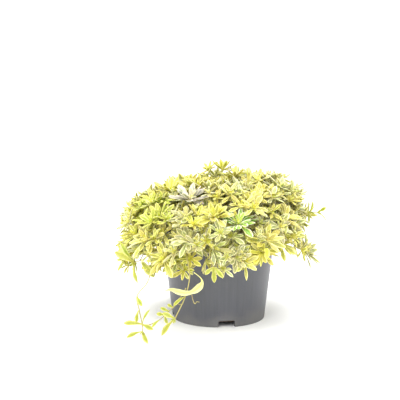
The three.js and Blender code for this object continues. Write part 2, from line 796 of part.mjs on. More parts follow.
// Runners: trailing stems given by the points that they follow, with leaves from some of
// those points to their own tips. Angles are in degrees to the right of the front.

const RUNNERS = [
  {
    name: 'runner_long',
    angle: -40,
    path: [
      [-58, -69, 143], [-71, -84, 135], [-79, -94, 113], [-86, -104, 90], [-92, -118, 72],
      [-104, -124, 57], [-101, -128, 40], [-97, -131, 22], [-96, -136, 14],
    ],
    leaves: [
      { from: 5, tip: [-97, -129, 45], width: 7 },
      { from: 6, tip: [-104, -132, 24], width: 7 },
      { from: 7, tip: [-87, -130, 41], width: 4 },
      { from: 7, tip: [-82, -138, 17], width: 6.5 },
      { from: 7, tip: [-121, -130, 23], width: 7.5 },
      { from: 8, tip: [-117, -134, 5], width: 6.5 },
      { from: 8, tip: [-88, -149, 2.5], width: 7 },
    ],
  },
  {
    name: 'runner_left',
    angle: -53,
    path: [
      [-72, -54, 143], [-86, -66, 137], [-95, -76, 118], [-103, -88, 98], [-111, -91, 94],
    ],
    leaves: [
      { from: 4, tip: [-138, -88, 108], width: 10 },
      { from: 4, tip: [-131, -80, 119], width: 9 },
      { from: 4, tip: [-106, -96, 67], width: 8 },
      { from: 3, tip: [-84, -104, 77], width: 10 },
    ],
  },
  {
    name: 'runner_front',
    angle: -21,
    path: [
      [-31, -86, 142], [-38, -103, 135], [-41, -121, 115], [-37, -136, 96], [-36, -143, 84],
      [-41, -146, 62], [-54, -147, 34],
    ],
    leaves: [
      { from: 6, tip: [-71, -148, 12], width: 7 },
      { from: 6, tip: [-70, -144, 40], width: 6.5 },
      { from: 5, tip: [-56, -146, 50], width: 5 },
    ],
  },
  {
    name: 'runner_middle',
    angle: -3,
    path: [[-5, -91, 143], [-7, -112, 139], [-9, -128, 126], [-11, -141, 112], [-6, -146, 99]],
    leaves: [
      { from: 4, tip: [-17, -148, 90], width: 6 },
      { from: 4, tip: [-5, -149, 80], width: 6.5 },
      { from: 4, tip: [6, -149, 86], width: 6 },
    ],
  },
  {
    name: 'runner_right',
    angle: 62,
    path: [[79, -42, 146], [95, -52, 152], [108, -59, 152], [121, -61, 157], [133, -61, 158]],
    leaves: [
      { from: 4, tip: [147, -59, 143], width: 5 },
      { from: 4, tip: [143, -70, 166], width: 5 },
      { from: 3, tip: [128, -51, 172], width: 5 },
      { from: 3, tip: [128, -80, 157], width: 5.5 },
    ],
  },
];

const RUNNER_RADIUS = 1.1;
const RUNNER_ROOT = 1.6;
const BLADE_BOW = 0.12;

// A leaf from a stem to a given tip, bowed towards its face
function leafTo(root, tip, width) {
  const along = tip.clone().sub(root);
  const length = along.length();
  along.normalize();
  const outward = new THREE.Vector3(root.x, root.y, 0).normalize().addScaledVector(UP, 0.6);
  const side = outward.clone().cross(along).normalize();
  const face = along.clone().cross(side);
  const bow = (share) => 4 * BLADE_BOW * length * share * (1 - share);
  const rise = (share) => root.clone().lerp(tip, share).addScaledVector(face, bow(share));
  const sections = LEAF_STATIONS.map((station) =>
    bladeSection(rise(station.along), side, face, width * station.width, station.keel));
  const start = bladeSection(root.clone(), side, face, RUNNER_ROOT, RUNNER_ROOT / 2);
  const points = [...start];
  const faces = [[0, 2, 1], ...bladeFaces(points, [0, 1, 2], sections, tip)];
  return { points, faces };
}

function makeRunner({ name, angle, path, leaves }) {
  const runner = { name, tubes: [] };
  const turn = FRONT + angle * DEGREE;
  runner.foot = footOf(turn, RUNNER_SPREAD);
  const collar = pointAt(turn, RUNNER_SPREAD, COLLAR_HEIGHT);
  const route = path.map((point) => new THREE.Vector3(...point));
  const radii = [STEM_RADIUS, STEM_RADIUS, ...route.map(() => RUNNER_RADIUS)];
  addTube(runner, null, [runner.foot, collar, ...route], radii);
  for (const leaf of leaves) {
    const { points, faces } = leafTo(route[leaf.from], new THREE.Vector3(...leaf.tip), leaf.width);
    takePlace(null, runner, faces.map((face) => face.map((corner) => points[corner])));
    runner.tubes.push(solidFrom(points, faces));
  }
  return runner;
}

// The whole plant in its pot

const runners = RUNNERS.map(makeRunner);
const rosettes = rosettePlaces().map(makeRosette);
const shoots = pairUp(rosettes);
shoots.forEach(growStems);
growLeaves(rosettes);

const plant = new THREE.Group();

function addMesh(name, solid, material) {
  const mesh = new THREE.Mesh(geometryOf(solid), material);
  mesh.name = name;
  plant.add(mesh);
}

addMesh('pot', potSolid(), PLASTIC);
addMesh('soil', soilSolid([...shoots, ...runners].map(({ foot }) => foot)), SOIL);
shoots.forEach((shoot, i) => {
  const heads = shoot.rosettes.map((rosette) => solidFrom(rosette.points, rosette.faces));
  const name = `shoot_${String(i + 1).padStart(2, '0')}`;
  addMesh(name, joined([...shoot.tubes, ...heads]), TINTS[shoot.rosettes[0].tint]);
});
runners.forEach((runner) => addMesh(runner.name, joined(runner.tubes), TINTS.green));

export default plant;
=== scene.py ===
# %% [markdown]
# # A potted variegated rock cress
#
# This lesson dresses a plain CAD model of a pot plant. The CAD model has the right places and
# sizes, but its leaves are three-sided blades and its pot has flat facets. Here each leaf gets
# its real outline, fold and two-coloured blade, and the mound is filled up with the many small
# leaves that a real cushion plant has. Everything is worked out with numpy and put into
# Blender as meshes, so the same script gives the same plant each time.

# %% Load the CAD model and keep its box
import json
import math

import bpy
import numpy as np
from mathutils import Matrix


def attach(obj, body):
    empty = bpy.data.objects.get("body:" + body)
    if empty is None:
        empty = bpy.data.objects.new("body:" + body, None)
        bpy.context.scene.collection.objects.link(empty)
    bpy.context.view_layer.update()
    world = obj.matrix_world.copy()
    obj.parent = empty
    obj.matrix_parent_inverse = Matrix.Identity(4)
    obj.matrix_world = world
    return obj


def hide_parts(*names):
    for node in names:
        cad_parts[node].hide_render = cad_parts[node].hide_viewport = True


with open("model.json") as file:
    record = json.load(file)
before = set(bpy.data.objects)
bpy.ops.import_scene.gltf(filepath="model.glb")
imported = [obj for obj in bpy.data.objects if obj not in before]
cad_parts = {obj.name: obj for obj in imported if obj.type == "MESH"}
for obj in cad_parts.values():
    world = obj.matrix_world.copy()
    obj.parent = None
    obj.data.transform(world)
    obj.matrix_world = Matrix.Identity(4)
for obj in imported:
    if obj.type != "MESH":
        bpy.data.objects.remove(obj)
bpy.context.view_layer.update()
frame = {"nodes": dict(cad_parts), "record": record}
rng = np.random.default_rng(5)

# %% [markdown]
# ## The camera
# The photograph was taken from a little above the rim of the pot. How far away can't be told
# from it, so a metre is taken. A camera could be set by eye, but with that distance the
# ellipses of the rim and the foot give its height and tilt, so the numbers below are worked
# out from those. The camera comes first because it decides which details are worth building.

# %% Camera
CAMERA_PLACE = (0.0, -1.0, 0.264)
CAMERA_LENS = 62.9
CAMERA_DOWN = 5.446
CAMERA_TURN = 1.532
camera_data = bpy.data.cameras.new("camera")
camera_data.sensor_width = 36.0
camera_data.lens = CAMERA_LENS
camera = bpy.data.objects.new("camera", camera_data)
camera.location = CAMERA_PLACE
camera.rotation_euler = (math.radians(90 - CAMERA_DOWN), 0.0, math.radians(CAMERA_TURN))
bpy.context.scene.collection.objects.link(camera)
bpy.context.scene.camera = camera
print("camera lens in mm:", round(camera_data.lens, 1))

# %% [markdown]
# ## Reading the blades of the CAD model
# The fine leaves must sit where the CAD leaves sit. Their places could be typed in as a long
# table, but they are already in the model: the CAD mesh is read corner by corner, and its own
# shape says which corner is which. A blade ends in a corner where exactly three triangles
# meet. The section behind it is a ring of three corners, two edges and a keel. A stem's
# section is a ring with three equal sides, whose size tells how far up the stem it is.

# %% Corners and triangles of a CAD node
MM = 0.001
SHOOT_NAMES = sorted(name for name in frame["nodes"] if name.startswith("shoot"))


def unit(vectors):
    """Each vector divided by its own length."""
    return vectors / np.linalg.norm(vectors, axis=-1, keepdims=True)


def corners_of(node):
    """A node's corners in millimetres, each once, and its triangles as three corner numbers."""
    mesh = frame["nodes"][node].data
    mesh.calc_loop_triangles()
    places = np.empty(len(mesh.vertices) * 3, np.float32)
    mesh.vertices.foreach_get("co", places)
    used = np.empty(len(mesh.loop_triangles) * 3, np.int32)
    mesh.loop_triangles.foreach_get("vertices", used)
    rounded = np.round(places.reshape(-1, 3) / MM, 3)
    corners, merged = np.unique(rounded, axis=0, return_inverse=True)
    return corners, merged.ravel()[used].reshape(-1, 3)


corners, triangles = corners_of(SHOOT_NAMES[0])
print("the first shoot has", len(corners), "corners and", len(triangles), "triangles")

# %% Rings of three corners
TOLERANCE = 0.02


def rings_of(corners, triangles):
    """All rings of three corners joined by edges: near[i, j] says that an edge joins i and j."""
    near = np.zeros((len(corners), len(corners)), bool)
    for k in range(3):
        near[triangles[:, k], triangles[:, (k + 1) % 3]] = True
    near |= near.T
    first, second = np.nonzero(np.triu(near))
    edge, third = np.nonzero(near[first] & near[second])
    rings = np.stack([first[edge], second[edge], third], axis=1)
    return near, rings[third > second[edge]]


def ring_facts(corners, rings):
    """For each ring: its keel corner, which is opposite the longest side, then the longest
    side, the keel's depth below that side, whether the ring has equal sides, and its radius."""
    ends = corners[rings]
    sides = np.linalg.norm(np.roll(ends, -1, axis=1) - np.roll(ends, -2, axis=1), axis=2)
    keel = sides.argmax(axis=1)
    ordered = np.sort(sides, axis=1)
    depth = np.sqrt(np.maximum(ordered[:, 0] ** 2 - (ordered[:, 2] / 2) ** 2, 0))
    depth = np.where(ordered[:, 1] - ordered[:, 0] < TOLERANCE, depth, 0)
    equal = ordered[:, 2] - ordered[:, 0] < TOLERANCE
    return keel, ordered[:, 2], depth, equal, ordered.mean(axis=1) / math.sqrt(3)


def close_to(values, wanted):
    """True where a value differs from the wanted one by less than TOLERANCE."""
    return np.abs(values - wanted) < TOLERANCE


print("its rings of three:", len(rings_of(corners, triangles)[1]))

# %% [markdown]
# ## Buds, leaves and stems of one shoot
# Each bud is a twenty-faced ball. Its centre isn't a corner, so every face votes for the two
# points that lie at the ball's depth on either side of it, and the point with the most votes
# wins. A bud's axis is the one of its corners that its leaves lean towards.

# %% Buds
BUD_RADIUS = 3.0
EDGE_OF_BALL = 1.0515
BUD_RING = BUD_RADIUS * EDGE_OF_BALL / math.sqrt(3)
VOTE_REACH = 0.1
FEWEST_VOTES = 8


def bud_centres(corners, rings, facts):
    """The centre lies under each face, at the depth sqrt(radius^2 - ring radius^2)."""
    _, _, _, equal, radius = facts
    faces = corners[rings[equal & close_to(radius, BUD_RING)]]
    normal = unit(np.cross(faces[:, 1] - faces[:, 0], faces[:, 2] - faces[:, 0]))
    depth = math.sqrt(BUD_RADIUS**2 - BUD_RING**2)
    middle = faces.mean(axis=1)
    votes = np.concatenate([middle + depth * normal, middle - depth * normal])
    centres = []
    while len(votes):
        apart = np.linalg.norm(votes[:, None] - votes[None], axis=2)
        support = (apart < VOTE_REACH).sum(axis=1)
        if support.max() < FEWEST_VOTES:
            break
        best = votes[apart[support.argmax()] < VOTE_REACH].mean(axis=0)
        centres.append(best)
        votes = votes[np.linalg.norm(votes - best, axis=1) > 4 * BUD_RADIUS]
    return np.array(centres)


def bud_axes(corners, centres, tip, owner):
    """Each bud's corner that lies closest to the mean direction of its leaves' tips."""
    axes = []
    for number, centre in enumerate(centres):
        spokes = corners - centre
        spokes = unit(spokes[close_to(np.linalg.norm(spokes, axis=1), BUD_RADIUS)])
        lean = unit(tip[owner == number] - centre).mean(axis=0)
        axes.append(spokes[(spokes @ lean).argmax()])
    return np.array(axes)


# %% Blades and stems
WIDE_KEEL = 1.4
LATE_KEEL = 1.12
LATE_WAY = 0.7
MAIN_RINGS = (1.9, 1.7333, 1.5667)
FORK_RINGS = (0.8, 1.1)


def blades_of(corners, triangles, near, rings, facts):
    """The blades as arrays: middle of the widest section, the direction of its upper side,
    the middle of the late section, the tip, and the width. Where a blade has no late
    section, the place at LATE_WAY from its widest section to its tip stands in."""
    keel, longest, depth, _, _ = facts
    tips = np.nonzero(np.bincount(triangles.ravel()) == 3)[0]
    wide = np.nonzero(close_to(depth, WIDE_KEEL))[0]
    late = np.nonzero(close_to(depth, LATE_KEEL))[0]
    at_tip = near[tips][:, rings].all(axis=2)
    places, widths = [], []
    for row, tip in enumerate(tips):
        last = [ring for ring in (*late, *wide) if at_tip[row, ring]]
        if not last:
            continue
        base = outer = last[0]
        if outer in late:
            links = near[rings[outer]][:, rings[wide]].sum(axis=(0, 2))
            base = wide[links.argmax()]
        section = corners[rings[base]]
        middle = np.delete(section, keel[base], axis=0).mean(axis=0)
        rim = middle + LATE_WAY * (corners[tip] - middle)
        if outer in late:
            rim = np.delete(corners[rings[outer]], keel[outer], axis=0).mean(axis=0)
        places.append([middle, middle - section[keel[base]], rim, corners[tip]])
        widths.append(longest[base])
    middle, upper, rim, tip = np.array(places).transpose(1, 0, 2)
    return middle, unit(upper), rim, tip, np.array(widths)


def stem_points(corners, rings, facts, radii):
    """The middles of the stem's sections, from the bottom up, by their known radii."""
    _, _, _, equal, radius = facts
    points = []
    for wanted in radii:
        middles = corners[rings[equal & close_to(radius, wanted)]].mean(axis=1)
        points.extend(middles[np.argsort(middles[:, 2])])
    return np.array(points)


# %% Read all shoots
def read_shoot(node):
    """Buds, blades and stems of a shoot. The first bud is the one that the main stem leads
    to, so two buds change places if that makes the ways from stem ends to buds shorter."""
    corners, triangles = corners_of(node)
    near, rings = rings_of(corners, triangles)
    facts = ring_facts(corners, rings)
    centres = bud_centres(corners, rings, facts)
    leaves = blades_of(corners, triangles, near, rings, facts)
    owner = np.linalg.norm(leaves[0][:, None] - centres[None], axis=2).argmin(axis=1)
    axes = bud_axes(corners, centres, leaves[3], owner)
    main = stem_points(corners, rings, facts, MAIN_RINGS)
    fork = stem_points(corners, rings, facts, FORK_RINGS)
    if len(centres) == 2:
        ends = np.array([main[-1], fork[-1]])
        apart = np.linalg.norm(ends[:, None] - centres[None], axis=2)
        if np.trace(apart) > np.trace(apart[::-1]):
            centres, axes, owner = centres[::-1], axes[::-1], 1 - owner
    return {"centres": centres, "axes": axes, "owner": owner, "leaves": leaves,
            "main": main, "fork": fork}


shoots = {name: read_shoot(name) for name in SHOOT_NAMES}
print("shoots:", len(shoots), "buds:", sum(len(shoot["centres"]) for shoot in shoots.values()))
print("blades:", sum(len(shoot["owner"]) for shoot in shoots.values()))

# %% [markdown]
# ## A leaf as rings of points
# A rock cress leaf is a narrow spoon: it widens slowly to its broadest place beyond the middle
# and closes in a short point. It is folded a little along its midrib, turned a little round
# its own length, and its edges are slightly wavy. A flat picture of a leaf on a card would be
# cheaper, but it shows as a card from the side. So a leaf is a closed flat tube of six points
# round and eight rings long, or six rings for the small leaves, of which there are thousands.
# All leaves of a shoot are worked out at once: every array below has one row for each leaf.

# %% Leaf shape
WIDE_SHARE, LATE_SHARE = 0.6, 0.88
LINE_SHARES = np.array([0.0, WIDE_SHARE, LATE_SHARE, 1.0])
LEAF_ROWS = np.array([0.0, 0.16, 0.32, 0.48, 0.64, 0.79, 0.91, 1.0])
LEAF_WIDTHS = np.array([0.24, 0.34, 0.56, 0.84, 1.0, 0.84, 0.48, 0.03])
THICKNESS = np.array([0.75, 0.72, 0.68, 0.62, 0.56, 0.48, 0.4, 0.15])
SMALL_LEAF_ROWS = np.array([0.0, 0.3, 0.55, 0.76, 0.92, 1.0])
RING_SIDE = np.array([1.0, 0.52, 0.0, -0.52, -1.0, 0.0])
RING_TOP = np.array([0.0, -0.6, -1.0, -0.6, 0.0, -1.0])
RING_ACROSS = (RING_SIDE + 1) / 2
MIDRIB = 5
FOLD, FOLD_SPREAD = 0.3, (0.6, 1.5)
TWIST = 0.55
WAVE_HEIGHT, WAVE_PACE = (0.05, 0.22), 9


def line_through(root, wide, late, tip, rows):
    """The cubic through four points at LINE_SHARES of the leaf, by Lagrange's formula: each
    point times the product of (u - other) / (own - other)."""
    weights = []
    for own in LINE_SHARES:
        others = LINE_SHARES[LINE_SHARES != own]
        weights.append((rows[:, None] - others).prod(axis=1) / (own - others).prod())
    points = np.stack([root, wide, late, tip], axis=1)
    return np.einsum("kr,nkc->nrc", np.array(weights), points)


def leaf_rings(root, wide, upper, late, tip, width, rows):
    """Rings of six points: centre line + side * half width * place across
    + face * (fold and wave), where the sixth point is the midrib on the underside. The side
    turns round the line by TWIST * draw * (u - 0.5)."""
    count = len(root)
    line = line_through(root, wide, late, tip, rows)
    along = unit(np.gradient(line, rows, axis=1))
    flat = unit(np.cross(upper[:, None], along))
    lifted = np.cross(along, flat)
    turn = (rng.uniform(-1, 1, (count, 1)) * TWIST * (rows - 0.5))[..., None]
    side = flat * np.cos(turn) + lifted * np.sin(turn)
    face = np.cross(along, side)
    half = 0.5 * width[:, None] * np.interp(rows, LEAF_ROWS, LEAF_WIDTHS)
    phase = rng.uniform(0, 2 * math.pi, (count, 1))
    wave = rng.uniform(*WAVE_HEIGHT, (count, 1)) * np.sin(WAVE_PACE * rows + phase)
    cup = rng.uniform(*FOLD_SPREAD, (count, 1)) * FOLD
    height = (cup * half)[..., None] * RING_TOP
    height = height + (half * wave)[..., None] * RING_SIDE * np.abs(RING_SIDE)
    height[..., MIDRIB] -= np.interp(rows, LEAF_ROWS, THICKNESS)
    rings = line[:, :, None] + side[:, :, None] * (half[..., None] * RING_SIDE)[..., None]
    return rings + face[:, :, None] * height[..., None]


print("points of a leaf:", RING_SIDE.size * LEAF_ROWS.size)
print("points of a small leaf:", RING_SIDE.size * SMALL_LEAF_ROWS.size)

# %% [markdown]
# ## Stems as rings of points
# A stem is a round tube along a smooth line. Blender's curve objects could do that, but then
# stems and leaves would be two objects for each shoot. With the same kind of rings as the
# leaves they go into one mesh. The line is a Catmull-Rom spline, which passes through all of
# its points and bends evenly between them.

# %% Smooth lines and tubes
STEM_SIDES = 7


def smooth_line(points, count):
    """Catmull-Rom: between b and c, with neighbours a and d, the place at t is half of
    2b + (c - a)t + (2a - 5b + 4c - d)t^2 + (3b - a - 3c + d)t^3."""
    points = np.asarray(points, float)
    padded = np.vstack([2 * points[0] - points[1], points, 2 * points[-1] - points[-2]])
    place = np.linspace(0, len(points) - 1, count)
    piece = np.minimum(place.astype(int), len(points) - 2)
    t = (place - piece)[:, None]
    a, b, c, d = (padded[piece + k] for k in range(4))
    bend = (2 * a - 5 * b + 4 * c - d) * t**2 + (3 * b - a - 3 * c + d) * t**3
    return 0.5 * (2 * b + (c - a) * t + bend)


def tube_rings(line, radii):
    """Round rings: centre line + radius * (side * cos + face * sin), square to the line."""
    along = unit(np.gradient(line, axis=0))
    spare = np.eye(3)[np.abs(along.mean(axis=0)).argmin()]
    side = unit(np.cross(spare, along))
    face = np.cross(along, side)
    angle = np.arange(STEM_SIDES) * 2 * math.pi / STEM_SIDES
    turn = side[:, None] * np.cos(angle)[:, None] + face[:, None] * np.sin(angle)[:, None]
    return (line[:, None] + radii[:, None, None] * turn)[None]


# %% [markdown]
# ## From rings to one mesh
# Each batch of rings becomes corners and four-sided faces, with a face that closes each end.
# Three numbers go with every corner, for the material to read: a seed that differs from leaf
# to leaf, an age from 0 for a young leaf to 1 for an old one, and a tint that the leaves of a
# rosette share. The UV map holds the place across the leaf and the place along it, which is
# where the two-coloured pattern comes from.

# %% Batches of rings
LEAF, STEM, OTHER_LEAF, SPECIAL_LEAF = 0, 1, 2, 3


def ring_faces(number):
    """Faces between each row of corner numbers and the next, closed round the last axis."""
    beside = np.roll(number, -1, axis=-1)
    here, there = number[..., :-1, :], number[..., 1:, :]
    return np.stack([here, beside[..., :-1, :], beside[..., 1:, :], there], axis=-1).reshape(-1, 4)


def batch(rings, across, along, seed, age, tint, finish):
    """Corners and faces of a set of closed tubes, given as tubes x rows x columns x 3."""
    shape = rings.shape[:3]
    number = np.arange(math.prod(shape)).reshape(shape)
    own = [np.reshape(value, (-1, 1, 1)) for value in (seed, age, tint)]
    spread = [np.broadcast_to(value, shape).ravel() for value in (across, along[:, None], *own)]
    return {
        "points": rings.reshape(-1, 3),
        "faces": [ring_faces(number), number[:, 0, ::-1], number[:, -1]],
        "values": np.stack(spread, axis=1),
        "finish": finish,
        "tubes": shape[0],
    }


def leaf_batch(root, wide, upper, late, tip, width, age, tint, finish=LEAF, rows=LEAF_ROWS):
    """Leaves as a batch, each with a seed of its own."""
    rings = leaf_rings(root, wide, upper, late, tip, width, rows)
    seed = rng.uniform(0, 1, len(root))
    return batch(rings, RING_ACROSS, rows, seed, age, tint, finish)


def stem_batch(line, thick, thin):
    """A stem as a batch of one tube, whose radius goes evenly from thick to thin."""
    rings = tube_rings(line, np.linspace(thick, thin, len(line)))
    across = np.arange(STEM_SIDES) / STEM_SIDES
    return batch(rings, across, np.linspace(0, 1, len(line)), rng.uniform(), 1.0, 0.5, STEM)


# %% Meshes from batches
LEAF_CREASE = 62


def mesh_object(name, points, faces):
    """A mesh from points in millimetres, as an object in the scene."""
    mesh = bpy.data.meshes.new(name)
    mesh.from_pydata((np.asarray(points) * MM).tolist(), [], faces)
    made = bpy.data.objects.new(name, mesh)
    bpy.context.scene.collection.objects.link(made)
    return made


def smooth_shaded(piece, crease):
    """Smooth shading that leaves edges sharper than crease degrees sharp."""
    piece.data.shade_smooth()
    piece.data.set_sharp_from_angle(angle=math.radians(crease))


def make_piece(name, batches, materials, nodes):
    """One mesh object of all batches, in metres, that stands for the given CAD nodes."""
    starts = np.cumsum([0] + [len(one["points"]) for one in batches])
    faces, finishes = [], []
    for one, start in zip(batches, starts):
        for block in one["faces"]:
            faces.extend((block + start).tolist())
            finishes.extend([one["finish"]] * len(block))
    piece = mesh_object(name, np.concatenate([one["points"] for one in batches]), faces)
    mesh = piece.data
    values = np.concatenate([one["values"] for one in batches]).astype(np.float32)
    corner = np.empty(len(mesh.loops), np.int32)
    mesh.loops.foreach_get("vertex_index", corner)
    mesh.uv_layers.new(name="UVMap").data.foreach_set("uv", values[corner, :2].ravel())
    for column, label in ((2, "seed"), (3, "age"), (4, "tint")):
        own = mesh.attributes.new(label, "FLOAT", "POINT")
        own.data.foreach_set("value", values[:, column].copy())
    for material in materials:
        mesh.materials.append(material)
    mesh.polygons.foreach_set("material_index", np.array(finishes, np.int32))
    smooth_shaded(piece, LEAF_CREASE)
    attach(piece, "root")
    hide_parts(*nodes)
    return piece


# %% [markdown]
# ## Tools for materials
# A material is a small network of nodes. These helpers add a node with its values and links
# in one line each, so that the networks below can be read from top to bottom.

# %% Node helpers
def srgb(red, green, blue):
    """A screen colour from 0 to 255 as linear light: ((c + 0.055) / 1.055) ^ 2.4."""
    screen = np.array([red, green, blue]) / 255
    linear = np.where(screen <= 0.04045, screen / 12.92, ((screen + 0.055) / 1.055) ** 2.4)
    return (*linear.tolist(), 1.0)


def add_node(tree, kind, settings=None, **links):
    """A node of that kind. Each link names a socket, with _ for a blank, or gives its number,
    as in_0 does, and holds a value or another socket."""
    node = tree.nodes.new(kind)
    for key, value in (settings or {}).items():
        setattr(node, key, value)
    set_sockets(tree, node, **links)
    return node


def set_sockets(tree, node, **links):
    """Gives each named socket its value, or links it to the other socket."""
    for key, value in links.items():
        name = key.replace("_", " ")
        socket = node.inputs[int(name[3:])] if name.startswith("in ") else node.inputs[name]
        if isinstance(value, bpy.types.NodeSocket):
            tree.links.new(value, socket)
        else:
            socket.default_value = value


def math_node(tree, operation, *values):
    links = {f"in_{i}": value for i, value in enumerate(values)}
    return add_node(tree, "ShaderNodeMath", {"operation": operation}, **links).outputs[0]


def times(tree, first, second):
    return math_node(tree, "MULTIPLY", first, second)


def scaled(tree, value, factor, offset):
    """value * factor + offset."""
    return math_node(tree, "MULTIPLY_ADD", value, factor, offset)


def mix_colour(tree, share, first, second, blend="MIX"):
    """The first colour where the share is 0 and the second where it is 1."""
    settings = {"data_type": "RGBA", "blend_type": blend}
    links = {"in_0": share, "in_6": first, "in_7": second}
    return add_node(tree, "ShaderNodeMix", settings, **links).outputs[2]


def ramp_node(tree, value, low, high):
    """0 at low, 1 at high, and a soft step between them."""
    settings = {"interpolation_type": "SMOOTHSTEP"}
    links = {"in_0": value, "in_1": low, "in_2": high}
    return add_node(tree, "ShaderNodeMapRange", settings, **links).outputs[0]


def noise_node(tree, vector, scale, detail=2.0, roughness=0.5):
    node = add_node(tree, "ShaderNodeTexNoise", Vector=vector, Scale=scale, Detail=detail,
                    Roughness=roughness)
    return node.outputs["Fac"]


# %% What a material reads, and how it ends
def place_on_object(tree):
    return add_node(tree, "ShaderNodeTexCoord").outputs["Object"]


def parts_of(tree, vector):
    """The parts of a vector, one by one."""
    return add_node(tree, "ShaderNodeSeparateXYZ", Vector=vector).outputs


def place_on_leaf(tree):
    """The place across and the place along, from the UV map."""
    place = add_node(tree, "ShaderNodeUVMap", {"uv_map": "UVMap"}).outputs[0]
    return parts_of(tree, place)[:2]


def attribute_node(tree, name):
    return add_node(tree, "ShaderNodeAttribute", {"attribute_name": name}).outputs["Fac"]


def new_group(name, inputs, outputs):
    """A node group with the named sockets. Returns its tree, inputs and outputs."""
    tree = bpy.data.node_groups.new(name, "ShaderNodeTree")
    for way, sockets in (("INPUT", inputs), ("OUTPUT", outputs)):
        for label, kind in sockets:
            tree.interface.new_socket(label, in_out=way, socket_type=kind)
    entry = tree.nodes.new("NodeGroupInput")
    leave = tree.nodes.new("NodeGroupOutput")
    return tree, entry.outputs, leave.inputs


def new_material(name):
    material = bpy.data.materials.new(name)
    material.use_nodes = True
    tree = material.node_tree
    return material, tree, tree.nodes["Principled BSDF"]


def finish_shader(tree, shader, colour, height, strength, distance, **values):
    """Gives the shader its colour, a bump from the height, and its other values."""
    bump = add_node(tree, "ShaderNodeBump", Strength=strength, Distance=distance, Height=height)
    set_sockets(tree, shader, Base_Color=colour, Normal=bump.outputs[0], **values)


print("brown of a screen as linear light:", np.round(srgb(128, 98, 68), 3).tolist())

# %% [markdown]
# ## The two-coloured leaf
# Each leaf has a grey-green heart and a pale margin, with an uneven border between them that
# runs out in streaks along the leaf. A painted picture could show that, but one picture would
# repeat on hundreds of leaves. Here the border is worked out from the place across the leaf
# and a noise that is stretched along it, and the leaf's own seed shifts the noise, so no two
# leaves are alike. Young leaves turn lime yellow by their age.

# %% Heart, half tone and margin
STREAKS_ACROSS, STREAKS_ALONG = 5.0, 2.2
SEED_JUMPS = (41.0, 17.0)
STREAK_SHIFT = 1.3
LEAF_SHIFT = 0.36
HEART_LENGTH = 0.93
HEART_EDGE = (-0.05, 0.08)
HALF_TONE_EDGE = (-0.3, -0.12)


def pattern_masks(tree, across, along, seed, heart_width):
    """Edge distance d = |2 * across - 1|. The heart reaches to a border that is widest in
    the middle of the leaf, plus noise, and a half-tone zone lies outside it."""
    edge = math_node(tree, "ABSOLUTE", scaled(tree, across, 2.0, -1.0))
    place = add_node(
        tree, "ShaderNodeCombineXYZ",
        X=scaled(tree, seed, SEED_JUMPS[0], times(tree, across, STREAKS_ACROSS)),
        Y=times(tree, along, STREAKS_ALONG),
        Z=times(tree, seed, SEED_JUMPS[1])).outputs[0]
    streaks = noise_node(tree, place, 1.6, 3.0, 0.6)
    bulge = math_node(tree, "SINE", times(tree, along, math.pi * HEART_LENGTH))
    border = times(tree, bulge, heart_width)
    for value, shift in ((streaks, STREAK_SHIFT), (seed, LEAF_SHIFT)):
        border = math_node(tree, "ADD", border, scaled(tree, value, shift, -shift / 2))
    beyond = math_node(tree, "SUBTRACT", border, edge)
    heart = ramp_node(tree, beyond, *HEART_EDGE)
    half_tone = ramp_node(tree, beyond, *HALF_TONE_EDGE)
    return edge, streaks, heart, half_tone


# %% Variegation group
COLOUR, NUMBER = "NodeSocketColor", "NodeSocketFloat"
TONES = ("Heart", "Other Heart", "Half Tone", "Margin", "Other Margin", "Young")
SEED_REDRAW = 7.31
LEAF_DRAW, ROSETTE_DRAW = 0.4, 0.6
YOUTH, YOUNG_COVER = (0.3, 1.0), 0.85
RIB, RIB_COVER = (0.12, 0.03), 0.5
MOTTLE_SIZE, MOTTLE = 700.0, (0.36, 0.82)
LEAF_TONE = (0.2, 0.89)
VEIN_SLANT, VEINS, VEIN_HEIGHT = -4.0, 14.0, 0.25


def leaf_colour(tree, given, age, draw, edge, heart, half_tone):
    """Margin, then half tone, heart, youth and the pale midrib over it."""
    margin = mix_colour(tree, draw, given["Margin"], given["Other Margin"])
    core = mix_colour(tree, draw, given["Heart"], given["Other Heart"])
    colour = mix_colour(tree, half_tone, margin, given["Half Tone"])
    colour = mix_colour(tree, heart, colour, core)
    youth = ramp_node(tree, math_node(tree, "SUBTRACT", 1.0, age), *YOUTH)
    colour = mix_colour(tree, times(tree, youth, YOUNG_COVER), colour, given["Young"])
    rib = ramp_node(tree, edge, *RIB)
    pale = mix_colour(tree, 0.5, colour, given["Margin"])
    return mix_colour(tree, times(tree, rib, RIB_COVER), colour, pale)


